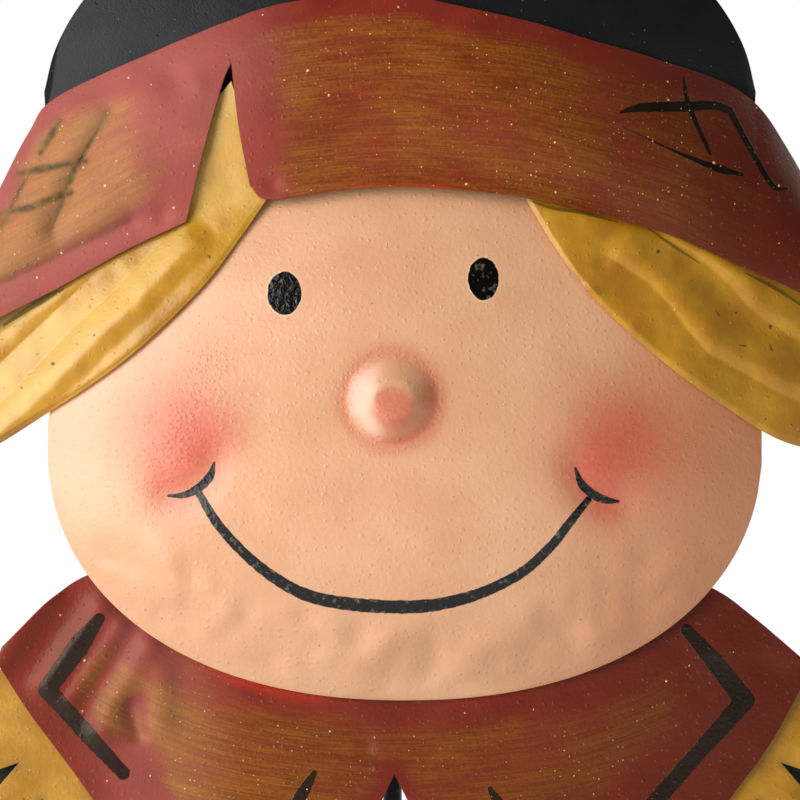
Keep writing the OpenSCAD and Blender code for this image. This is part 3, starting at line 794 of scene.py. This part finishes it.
collar_low = [(-108, -70), (-99, -84), (-82, -107), (-60, -141), (-38, -176, 1), (-1.5, -100, 1),
              (37, -176, 1), (62, -142), (88, -107), (99, -92), (108.5, -75)]
collar_high = [(-106.5, -66), (-93, -53), (-81.5, -46), (-60, -41), (-38, -38), (-1.5, -37), (37, -38),
               (62, -42), (83, -50), (94.5, -58), (107.5, -69)]
collar = Sheet("collar", collar_low, collar_high, grain=1.15)
left_stroke = [(-80.5, -58.5, 3.4), (-86, -66, 5.8), (-94.4, -77.5, 5.0, 1), (-84, -89, 4.8),
               (-74, -99.8, 3.8)]
right_stroke = [(76.6, -61.5, 3.4), (84, -70, 5.0), (92.2, -80.5, 5.6, 1), (80, -94, 4.6), (66, -110, 4.8)]
collar_relief = collar.lumps(30, 0.3, 91) + collar.lumps(9, 0.12, 92) + 0.3
ribs = [([(-96, -53), (-108, -71)], 9, 1.8), ([(-80, -56), (-94, -76)], 8, 2.0),
        ([(-75, -61), (-88, -80)], 5.5, 1.5), ([(-67.5, -66), (-77, -82), (-79, -88)], 8, 2.0),
        ([(-64, -72), (-64, -86)], 9, 1.4)]
for rib, wide, high in ribs:
    collar_relief += groove(collar, rib, wide, -high)
collar_relief += groove(collar, [(-72, -82), (-70, -89)], width=5, depth=1.6)
for spot in ((-9, -92.5, 2.6, 0.7), (98, -72, 5, 0.5), (86, -66, 6, -0.5)):
    collar_relief += dent(collar, *spot)
collar.press(collar_back(collar.x), collar_relief)
under_chin = (face_r(collar.x, collar.z) - 1) * chin_half_h
gold_left = swell(Route(collar, left_stroke).aside, 3, 8)
gold_right = swell(-Route(collar, right_stroke).aside, 3, 16)
turned = np.arctan2(collar.x - face_mid_x, face_mid_z - collar.z)
collar.flow(chin_half_h * turned, under_chin)
between_ribs = swell(-collar.x, 60, 67) * swell(collar_relief, 1.5, 0.6)
gold = 0.95 + 0.35 * swell(-collar.x, 40, 60) - 0.25 * swell(collar.x, 20, 70) + collar.lumps(22, 0.4, 93)
gold *= gold_left * gold_right * (1 - 0.75 * between_ribs)
collar.store("rub", gold * swell(under_chin, 2, 12) * swell(collar.rim, 1, 6))
# Dark colour painted on from the middle to the right end, and on the rib sides turned to the right, is
# painted shade; the far left end gets a little of it too. Pale colour at the left is a painted highlight, and
# a bright red line just under the chin is painted light.
collar.store("painted_shade", 0.25 * swell(collar.x, -60, -5) + 0.35 * swell(collar.x, 20, 95)
             + 0.25 * swell(-collar.turned_left(), -0.05, 0.3) * swell(-collar.x, 45, 60)
             + 0.15 * swell(-collar.x, 74, 92))
collar.store("painted_highlight", 0.2 * swell(-collar.x, 38, 62) * swell(-collar.x, 90, 68))
collar.store("painted_reflection", 0.7 * swell(under_chin, 3.5, 0.5) * swell(collar.lumps(30, 1, 94), -0.1, 0.35))
lapel_strokes = [[(-22.9, -99.6, 1.6), (-26, -105, 3.6), (-34, -119, 3.4)],
                 [(24, -104, 1.6), (27, -109, 3.4), (33, -122, 3.2)]]
draw_strokes(collar, "ink", [left_stroke, right_stroke, *lapel_strokes])
collar_paint = rubbed_red("collar_paint")
collar.finish(collar_paint, "brick_red_paint")


# Face
# A deep dish drawn in a press, with the nose pushed out of its middle and the ends of
# the smile creased. It is sprayed skin pink, the cheeks are airbrushed, and eyes and
# mouth are brushed on.
face_rise = 20
face_seat = -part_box("face")[1].y / MM


def face_back(x, z):
    return face_seat + face_rise * dome(face_r(x, z), 2.4)


face_turns = np.radians(np.linspace(4, 176, 25))
jaw_drop = (1 - np.abs(np.cos(face_turns)) ** jaw_power) ** (1 / jaw_power)
face_xs = face_mid_x - face_half_w * np.cos(face_turns)
chin = list(zip(face_xs, face_mid_z - chin_half_h * jaw_drop))
brow = list(zip(face_xs, face_mid_z + brow_half_h * np.sin(face_turns)))
face = Sheet("face", chin, brow, grain=0.92)
nose_x, nose_r, nose_out, nose_tip, nose_fillet = -2, 11.6, 4.8, 5.4, 0.35
from_nose = np.hypot(face.x - nose_x, face.z)
nose_cap = nose_out * (1 - eased(from_nose - nose_tip, 2 * nose_fillet) / (nose_r - nose_tip))
nose_bump = eased(nose_cap, nose_fillet) * swell(from_nose, 15, 11.5)
hammered = swell(face_r(face.x, face.z), 0.6, 0.8) * swell(-face.z, 32, 46)
face_relief = face.lumps(34, 0.35, 101) + face.lumps(12, 0.1, 102)
face_relief += hammered * (face.lumps(14, 1.6, 103) + face.lumps(7, 0.7, 104))
smile_ends = [[(-61.5, -25.4, 0.9), (-57.3, -25.2, 2.0), (-53.3, -23.2, 2.6), (-50.4, -20.2, 2.6),
               (-49.3, -16.7, 0.8)],
              [(46.4, -18.1, 0.9), (48.2, -22.4, 2.5), (51.8, -25.4, 2.7), (54.8, -26.6, 2.2),
               (57.9, -26.9, 1.0)]]
for smile_end in smile_ends:
    face_relief += groove(face, smile_end, width=10, depth=0.9)
face_relief = face_relief * swell(1 - face_r(face.x, face.z), 0, 0.1) + nose_bump
face.press(face_back(face.x, face.z), face_relief)


def airbrushed(x, z, size, amount):
    """A soft round cloud of sprayed paint."""
    return amount * np.exp(-(np.hypot(face.x - x, face.z - z) / size) ** 2)


cheeks = ((-58, -7, 20, 0.7), (-62, -24, 9, 0.4), (-51, -12, 9, 0.3),
          (60, -11, 19, 0.8), (49, -19, 9, 0.35), (54, -29, 7, 0.35))
blush = sum(airbrushed(*cheek) for cheek in cheeks)
blush += 0.6 * swell(np.hypot(face.x + 2.2, face.z + 1.9), 7.4, 4.2)
# The blush on the nose's lower right flank is also painted shade.
blush += 0.2 * swell(from_nose, 13, 11) * swell(face.x - 0.8 * face.z, -5, 8)
face.store("blush", blush + 0.5 * np.exp(-((from_nose - 12.8) / 3.2) ** 2))
face.store("polish", 0.8 + 0.2 * swell(from_nose, 12, 11) - airbrushed(-58, -7, 22, 0.35))
# A pale ring painted on the nose's left side is a painted highlight.
face.store("painted_highlight", 0.36 * swell(np.abs(from_nose - 8.6), 2.8, 1) * swell(nose_x - face.x, 1, 6))
nose_shade = swell(from_nose, 12.4, 11.2) * swell(from_nose, 4.6, 6) * swell(face.x - 0.8 * face.z, -1, 8)
# Darker paint towards the right of the face and on the nose's right side is painted shade.
face.store("painted_face_shade", 0.75 * swell(face.x - 0.3 * (face.z + 20), 33, 97) + 0.8 * nose_shade)
blistered = Route(face, [(-52, 8), (-70, -28)]).far / 9 + face.lumps(5, 0.8, 105)
round_nose = swell(np.abs(from_nose - 12.5) - 2 * swell(-face.x, 4, 12), 1.5, 0)
face.store("blister", swell(blistered, 1.0, 0.4) + round_nose)
eyes = ((-30.7, 28.3, 4.6, 5.9), (22.1, 32.1, 4.2, 5.8))
inside_eyes = [(1 - np.hypot((face.x - x) / w, (face.z - z) / h)) * w for x, z, w, h in eyes]
face.store("eye", np.max(inside_eyes, axis=0))
mouth = [(-53.7, -24.2, 2.2), (-48, -33.3, 2.8), (-40, -41.9, 3.0), (-32, -48, 3.3), (-24, -52, 3.6),
         (-13.3, -54.1, 3.8), (0, -54.9, 3.8), (10.7, -54.1, 3.6), (21.3, -51.2, 3.2), (32, -45.9, 3.0),
         (40, -38.7, 2.8), (45.3, -32, 2.6), (49.9, -26.4, 2.0)]
draw_strokes(face, "ink", [mouth])
draw_strokes(face, "ink_across", smile_ends)
face_paint = Paint("face_paint", {"Specular IOR Level": 0.45, "Coat Roughness": 0.34})
face_mottle = face_paint.cloud(20)
face_grain = face_paint.cloud(1.2)
face_blush = (face_paint.stored("blush") * (0.75 + 0.5 * face_grain)).above(0, 1.1)
eye_edge = face_paint.stored("eye") + 0.6 * face_paint.cloud(1.8) - 0.3
face_strokes = strokes_in(face_paint, "ink").most(strokes_in(face_paint, "ink_across"))
face_ink = face_strokes.most(eye_edge.above(0, 0.2))
face_glints = face_paint.cloud(1.6, 4.0).above(0.56, 0.72)
face_nibs = face_paint.specks(2.4, 0.55, 0.4, 0.0) + face_paint.specks(9, 0.7, 0.25, 0.0)
face_blisters = face_paint.stored("blister") * face_paint.specks(1.3, 0.6, 0.7, 0.0)
face_pores = face_paint.specks(7, 0.22, 0.12)
face_paint.ground(face_mottle.above(0.3, 0.7), (229, 168, 124), (237, 179, 135))
# Painted shade on the right of the face and nose.
face_paint.lay(face_paint.stored("painted_face_shade"), (206, 126, 78))
face_paint.lay(face_blush, (214, 92, 64))
# Painted highlight on the nose's left side.
face_paint.lay(face_paint.stored("painted_highlight"), (255, 228, 212))
face_paint.lay(0.3 * eye_edge.above(-0.4, -0.2), (250, 220, 190))
face_paint.lay(face_ink, face_paint.mix(face_glints, (6, 5, 4), (104, 90, 78)))
face_paint.lay(0.7 * face_pores, (150, 92, 62))
face_paint.cover(0.34 + 0.06 * face_mottle - 0.18 * face_ink,
                 0.8 * face_grain + 0.5 * face_nibs + 0.5 * face_blisters
                 + face_ink * (0.3 + 0.5 * face_paint.cloud(1.0)), 0.22)
face_paint.feed(face_paint.shader.inputs["Coat Weight"], face_paint.stored("polish") * (1 - face_ink))
face.finish(face_paint, "face_paint")


# Hair
# Two locks of straw-yellow sheet with sharp pressed folds along them. They lie
# over the face, under the brim, and fall back behind the face's rim.
hair_fall, hair_rise, fall_top, fall_full = 40, 1, 50, 20
hair_left_high = [(-45, 85), (-56, 72), (-70, 56), (-88, 38), (-106, 24), (-124, 9), (-140, -10)]
hair_left_low = [(-35.5, 53.5), (-43, 42.5), (-53, 29.5), (-72, 11.5), (-94, -3.5), (-116, -16), (-138, -20)]
hair_right_low = [(33.5, 53.5), (41.5, 40), (51, 27.5), (67, 12.5), (86, -1.5), (107, -12.5), (138, -14)]
hair_right_high = [(36, 58), (56, 55), (71, 49.5), (84, 44), (97, 38), (114, 27), (140, 2)]


def over_face(x, z):
    """The face's dish, run out softly past its rim."""
    return face_seat + eased(face_rise * (1 - face_r(x, z) ** 2.4), 1.2)


def hair_back(lock):
    falling = np.clip((fall_top - lock.z) / (fall_top - fall_full), 0, 1)
    behind_rim = hair_fall * falling * eased(face_r(lock.x, lock.z) - 1, 0.03)
    return over_face(lock.x, lock.z) + sheet_t + layer_gap - behind_rim + hair_rise * arch(lock.v)


def hair_fold(lock, points, high, steep, gentle):
    """A fold that starts sharply along a route, rises to its left and falls away again."""
    route = Route(lock, points)
    up = np.clip(route.aside / steep, 0, 1)
    return high * swell(route.past, 5, -1) * up * (2 - up) * swell(route.aside, steep + gentle, steep)


brim_low = [(-126, 12), (-107, 22), (-91, 30), (-73, 40), (-57, 47.5, 1), (-53, 64), (-47.5, 84),
            (-45, 90, 1), (-43, 73), (-40, 57, 1), (-35, 53.5), (-16, 56), (0, 57), (15, 56), (33, 54),
            (58, 48), (72, 44), (88, 37), (107, 28.5), (126, 18)]
notch_first, notch_end = 5, 10
brim_hem = edge_through(brim_low[:notch_first] + brim_low[notch_end:], np.linspace(0, 1, 400))


def below_hem(lock):
    """How far each point of a lock lies below the brim's hem."""
    return np.interp(lock.x, *brim_hem.T) - lock.z


left = Sheet("hair_left", hair_left_high, hair_left_low, grain=0.6)
left_relief = 0.6 + left.lumps(24, 0.3, 111) + left.lumps(8, 0.3, 112) + left.lumps(4, 0.1, 114)
lower_fold = [(-58, 47), (-64, 42), (-75, 30.1), (-86.3, 19.9), (-103.6, 2), (-130, -20)]
left_relief += hair_fold(left, lower_fold, high=2.0, steep=6, gentle=6)
upper_fold = [(-140, -2), (-108, 9), (-92, 24), (-78, 37), (-66, 47)]
left_relief += hair_fold(left, upper_fold, high=1.6, steep=5, gentle=6)
left_relief += dent(left, -56, 41, 6, -0.5)
left_relief *= swell(left.rim, 0, 1.5) * swell(below_hem(left), -3, 4)
in_notch = swell(left.z, 42, 66) * swell(-left.x, 64, 56)
left_relief += in_notch * (0.8 + 0.12 * (left.x + 57) + left.lumps(7, 0.4, 113))
left.press(hair_back(left), left_relief)
draw_strokes(left, "ink", [[(-80, 38, 0.6), (-68, 44, 1.8), (-60, 47, 1.2)],
                           [(-106, 20, 1.0), (-96, 26.5, 2.2), (-90, 29.5, 0.8)]])
# Paler paint where the left lock turns to the left, and in the notch, is a painted highlight.
left.store("painted_highlight", 0.45 * swell(left.turned_left(), 0.1, 0.55) * swell(-left.x, 30, 60)
           + 0.28 * swell(left.z, 46, 56))

right = Sheet("hair_right", hair_right_low, hair_right_high, grain=0.6)
right_relief = 0.7 + right.lumps(24, 0.3, 115) + right.lumps(8, 0.4, 116) + right.lumps(4, 0.15, 117)
lower_fold = [(57, 37.1), (65.9, 31.2), (71.7, 25.3), (76.3, 18.7), (82.1, 12.5), (91.2, 7.5), (101.6, 2.1),
              (126, -9)]
right_relief += hair_fold(right, lower_fold, high=1.8, steep=4.5, gentle=9)
upper_fold = [(70.3, 43.8), (76.3, 40.1), (82.9, 35.7), (88.2, 30.5), (93.3, 24.5), (98.6, 20.8),
              (105.9, 16.3), (134, 0)]
right_relief += hair_fold(right, upper_fold, high=1.5, steep=4, gentle=8)
for spot in ((50.5, 28.5, 2.2, -1.3), (54, 36.5, 2.4, 0.9), (62, 40, 5, -0.6)):
    right_relief += dent(right, *spot)
right_relief *= swell(right.rim, 0, 1.5) * swell(below_hem(right), -3, 3)
right.press(hair_back(right), right_relief)
draw_strokes(right, "ink", [[(34, 53.2, 0.6), (41, 51, 1.3), (48, 50, 1.2), (58, 47.4, 0.5)],
                            [(66, 46, 0.6), (73, 41, 1.2), (80, 36.5, 0.5)],
                            [(92, 34, 0.6), (100, 30, 1.4), (108, 25, 0.8)],
                            [(90.4, 14.6, 0.5), (92, 14.4, 0.9)], [(98.6, 15, 0.5), (99.2, 13.4, 1.0)],
                            [(84, 24, 0.4), (85, 22.6, 0.8)]])
for lock in (left, right):
    lock.finish(straw_paint, "straw_paint")


# Hat brim
# One brick red sheet bent round the front of the hat, torn open above one
# eye. Its left flap is creased, dull gold is rubbed along it, and dark crossed
# strokes are brushed on both ends.
brim_high = [(-120, 31), (-107.5, 57), (-99.7, 72), (-92, 81.5), (-64, 94), (-55.5, 97.5), (-50, 99.8),
             (-45, 101.6), (-42, 102.8), (-38.7, 104), (-31, 106), (-16, 108), (0, 108.5), (12, 106),
             (35, 101), (52, 96), (68, 91.5), (92, 82.5), (105, 66), (121, 35)]
brim_rise, brim_sweep, brim_half_w = 4.5, 8, 125
brim_out = 2 * (sheet_t + layer_gap) + hair_rise + 2 * layer_gap
brim_peak = edge_through(brim_high, np.linspace(0, 1, 400))
brim = Sheet("hat_brim", brim_low, brim_high, grain=0.68)
hem_z, peak_z = np.interp(brim.x, *brim_hem.T), np.interp(brim.x, *brim_peak.T)
up_brim = np.clip((brim.z - hem_z) / (peak_z - hem_z), 0, 1)
brim_foot = over_face(brim.x, brim.z) + brim_out - brim_sweep * (brim.x / brim_half_w) ** 4
brim_top = crown_back(brim.x, brim.z) + sheet_t + layer_gap
brim_back = brim_foot + (brim_top - brim_foot) * up_brim + brim_rise * dome(np.abs(2 * up_brim - 1), 2)
creases = [([(-95.9, 66.8), (-90.5, 75)], 6, 2.0), ([(-107, 44), (-102.8, 52.2), (-99.7, 59.9)], 6, 2.0),
           ([(-92.8, 45.3), (-88.2, 57.6), (-84.4, 64.5), (-81.3, 69.9), (-77, 76.8)], 8, 3.0),
           ([(-102.4, 60.8), (-83.7, 64)], 5, 1.3), ([(-107, 48.5), (-90, 54)], 5, 1.5),
           ([(-114, 27), (-107, 30.4), (-83.2, 41.9), (-71.7, 47.5)], 8, 2.4)]
brim_relief = brim.lumps(30, 0.5, 121) + brim.lumps(9, 0.12, 122)
brim_relief += 1.2 * swell(-brim.x, 58, 72) * swell(brim.rim, 2, 10)
brim_crease_shade = np.zeros(len(brim.x))
for line, wide, deep in creases:
    sunk, crease_shade = crease(brim, line, wide, deep)
    brim_relief += sunk * swell(-brim.x, 56, 66)
    # The shaded side of each crease gets painted shade.
    brim_crease_shade = np.maximum(brim_crease_shade, 0.22 * deep * crease_shade)
brim_relief += groove(brim, [(-112, 23), (-82, 38), (-62, 47)], width=6, depth=-0.4)
for spot in ((-63, 49, 2.6, 0.9), (-60.5, 86, 4.5, 0.9), (-54, 84.5, 3, -0.5), (-0.5, 72, 3.4, 0.6),
             (-34, 57.5, 2.5, 0.6), (3, 90, 6, 0.4)):
    brim_relief += dent(brim, *spot)
brim.press(brim_back, brim_relief)
brim.flow(brim.x, brim.z - hem_z)
main_rub = swell(brim.x, -39, -24) * swell(peak_z - brim.z, 2, 10) * (1 - 0.7 * swell(brim.x, 62, 104))
flap_rub = swell(-brim.x - 0.15 * brim.z, 46, 74) * swell(peak_z - brim.z, 2, 15)
flap_rub *= swell(brim.z - hem_z, 6, 13)
brim.store("rub", np.maximum(0.95 * main_rub, 1.3 * flap_rub) + main_rub * brim.lumps(26, 0.4, 123)
           + flap_rub * brim.lumps(15, 0.9, 124))
# Dark colour painted on towards the right end and on the shaded side of each crease is painted shade. Pale
# colour at the left end is a painted highlight, and a bright red line at the middle of the hem is painted
# light thrown up from the face.
brim.store("painted_shade", 0.65 * swell(brim.x, 5, 95) + brim_crease_shade)
brim.store("painted_highlight", 0.3 * swell(-brim.x, 20, 64))
brim.store("painted_reflection", swell(brim.z - hem_z, 0.9, 0.3) * swell(np.abs(brim.x), 16, 10))
stitches = [[(-91, 75, 1.8), (-93.5, 71, 3.6), (-96.3, 66.4, 2.8)],
            [(-80.5, 72.5, 1.4), (-84.5, 66, 2.8), (-88, 59, 3.2), (-90.5, 52, 2.4), (-92.8, 46, 1.4)],
            [(-99.7, 60.5, 1.4), (-103, 54, 2.6), (-107, 46, 2.0)]]
stitches_across = [[(-102.4, 60.8, 2.8), (-95, 62, 3.6), (-83.7, 64, 2.4)],
                   [(-107, 50, 2.8), (-98, 51.8, 3.4), (-88, 55.5, 3.4)]]
dark = [[(75.9, 86.2, 1.0), (77.3, 78.4, 1.8), (82.7, 65.8, 1.2)],
        [(88.2, 77.8, 2.2), (93.6, 67.5, 1.9), (99.6, 57.4, 1.8), (103.6, 56.7, 1.0)]]
dark_across = [[(58.8, 76.7, 1.0), (64.8, 78.0, 2.8), (75.6, 78.4, 3.2), (83.8, 78.9, 2.6), (88, 77.6, 2.4)],
               [(58.8, 72.9, 0.4), (71.8, 66.9, 0.9), (81.1, 63.1, 1.8), (86, 61.4, 2.6), (91.4, 60.1, 1.2)]]
for name, strokes in (("stitch", stitches), ("stitch_across", stitches_across),
                      ("ink", dark), ("ink_across", dark_across)):
    draw_strokes(brim, name, strokes)
brim_paint = rubbed_red("brim_paint")
brim.finish(brim_paint, "brick_red_paint")


# Hanging ring
# A bright steel wire bent to a half round, with its straight side running
# through the eye on the back of the rod.
wire_steel = Paint("wire_steel", {"Metallic": 1.0})
wire_mottle = wire_steel.cloud(3)
wire_steel.ground(wire_mottle, (150, 149, 146), (196, 195, 190))
wire_steel.cover(0.26 + 0.2 * wire_mottle, wire_steel.cloud(0.4), 0.05)
dress("hanging_ring", wire_steel)


# Stand
# A cut steel plate with a socket tube and a boss welded to it, powder coated
# black, and a blackened thumb screw that clamps the rod.
coat = Paint("stand_coat", {"Specular IOR Level": 0.35})
coat_mottle = coat.cloud(30)
coat.ground(coat_mottle, (28, 28, 29), (42, 42, 42))
coat.cover(0.46 + 0.14 * coat_mottle, coat.cloud(0.9), 0.15)
for stand_piece in ("base_plate", "base_socket"):
    dress(stand_piece, coat)
foot_r, foot_bead = -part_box("base_socket")[0].y, 0.6 * rod_r
deselect()
bpy.ops.mesh.primitive_torus_add(major_radius=foot_r, minor_radius=foot_bead,
                                 major_segments=192, minor_segments=20)
socket_weld = bpy.context.object
socket_weld.location = (rod_x, 0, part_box("base_plate")[1].z)
bpy.ops.object.transform_apply(location=True, rotation=True, scale=True)
rippled(socket_weld, lambda spots: np.arctan2(spots[:, 1], spots[:, 0] - rod_x) / (2 * np.pi),
        count=30, seed=40)
socket_weld.name = "socket_weld"
socket_weld.data.materials.append(coat.material)
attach(socket_weld, "stand")
screw_black = Paint("screw_black", {"Metallic": 0.6})
screw_wear = (screw_black.cloud(1.5) + 0.4 * screw_black.cloud(0.4)).above(0.78, 0.95)
screw_black.ground(0.6 * screw_wear, (38, 37, 36), (120, 114, 106))
screw_black.cover(0.36 + 0.2 * screw_wear, screw_black.cloud(0.5), 0.06)
dress("thumb_screw", screw_black)


# Studio
# A pale floor that runs into a white backdrop, a tall soft lamp close by on
# the viewer's left, and another behind.
floor_paint = Paint("floor_paint", {"Specular IOR Level": 0.1})
floor_mottle = floor_paint.cloud(60)
floor_paint.ground(floor_mottle, (238, 237, 235), (242, 241, 239))
floor_paint.cover(0.8 + 0.1 * floor_mottle, floor_paint.cloud(2), 0.05)
floor_ray = floor_paint.node("ShaderNodeLightPath", out="Is Camera Ray")
floor_seen = floor_ray.most(floor_ray.other("Is Glossy Ray")).most(floor_ray.other("Is Transmission Ray"))
floor_far = floor_paint.node("ShaderNodeVectorMath", {"operation": "LENGTH"}, {0: floor_paint.place}, "Value")
floor_lit = Shade(floor_paint, floor_paint.shader, 0)
floor_haze = floor_paint.node("ShaderNodeEmission")
floor_blend = floor_paint.node("ShaderNodeMixShader", None,
                               {0: floor_seen * floor_far.above(0.3, 1.6), 1: floor_lit, 2: floor_haze})
floor_paint.feed(floor_paint.tree.nodes["Material Output"].inputs["Surface"], floor_blend)
deselect()
bpy.ops.mesh.primitive_circle_add(vertices=96, radius=6, fill_type="NGON")
floor = bpy.context.object
floor.name = "floor"
floor.data.materials.append(floor_paint.material)


def soft_lamp(name, place, target, width, height, power):
    lamp = bpy.data.lights.new(name, "AREA")
    lamp.shape = "RECTANGLE"
    lamp.size, lamp.size_y = width, height
    lamp.energy = power
    held = bpy.data.objects.new(name, lamp)
    held.location = place
    held.rotation_euler = (Vector(target) - Vector(place)).to_track_quat("-Z", "Y").to_euler()
    held.visible_camera = False
    bpy.context.scene.collection.objects.link(held)


head = Vector((0, 0, nose_height * MM))
soft_lamp("key", head + Vector((-0.74, -0.62, 0.2)), head, width=0.7, height=1.0, power=10)
soft_lamp("back", head + Vector((0.5, 1.5, 0.4)), head - Vector((0, 0, 0.2)), width=0.9, height=1.2, power=16)

world = bpy.data.worlds.new("studio")
bpy.context.scene.world = world
world.use_nodes = True
backdrop = world.node_tree.nodes["Background"]
backdrop.inputs["Color"].default_value = (1, 1, 1, 1)
air = Nodes(world.node_tree)
ray = air.node("ShaderNodeLightPath", out="Is Camera Ray")
mirrored = ray.other("Is Glossy Ray")
way = air.node("ShaderNodeSeparateXYZ", None, {"Vector": air.node("ShaderNodeTexCoord", out="Generated")})
seen = ray.most(ray.other("Is Transmission Ray")).most(mirrored * way.other("Y").mapped(-0.1, 0.3, 0.0, 1.0))
fill = mirrored.mapped(0.0, 1.0, way.mapped(-1.0, 1.0, 0.58, 0.26), 0.06)
air.feed(backdrop.inputs["Strength"], seen.mapped(0.0, 1.0, fill, 1.0))

camera_far, field, sensor, hair_front = 2.0, 0.2133, 36, 0.025
camera = bpy.data.cameras.new("camera")
camera.sensor_width = sensor
camera.lens = sensor * camera_far / field
viewer = bpy.data.objects.new("camera", camera)
viewer.location = (0, -camera_far - hair_front, nose_height * MM)
viewer.rotation_euler = (np.radians(90), 0, 0)
bpy.context.scene.collection.objects.link(viewer)
bpy.context.scene.camera = viewer
bpy.context.scene.view_settings.view_transform = "Standard"

bpy.context.view_layer.update()
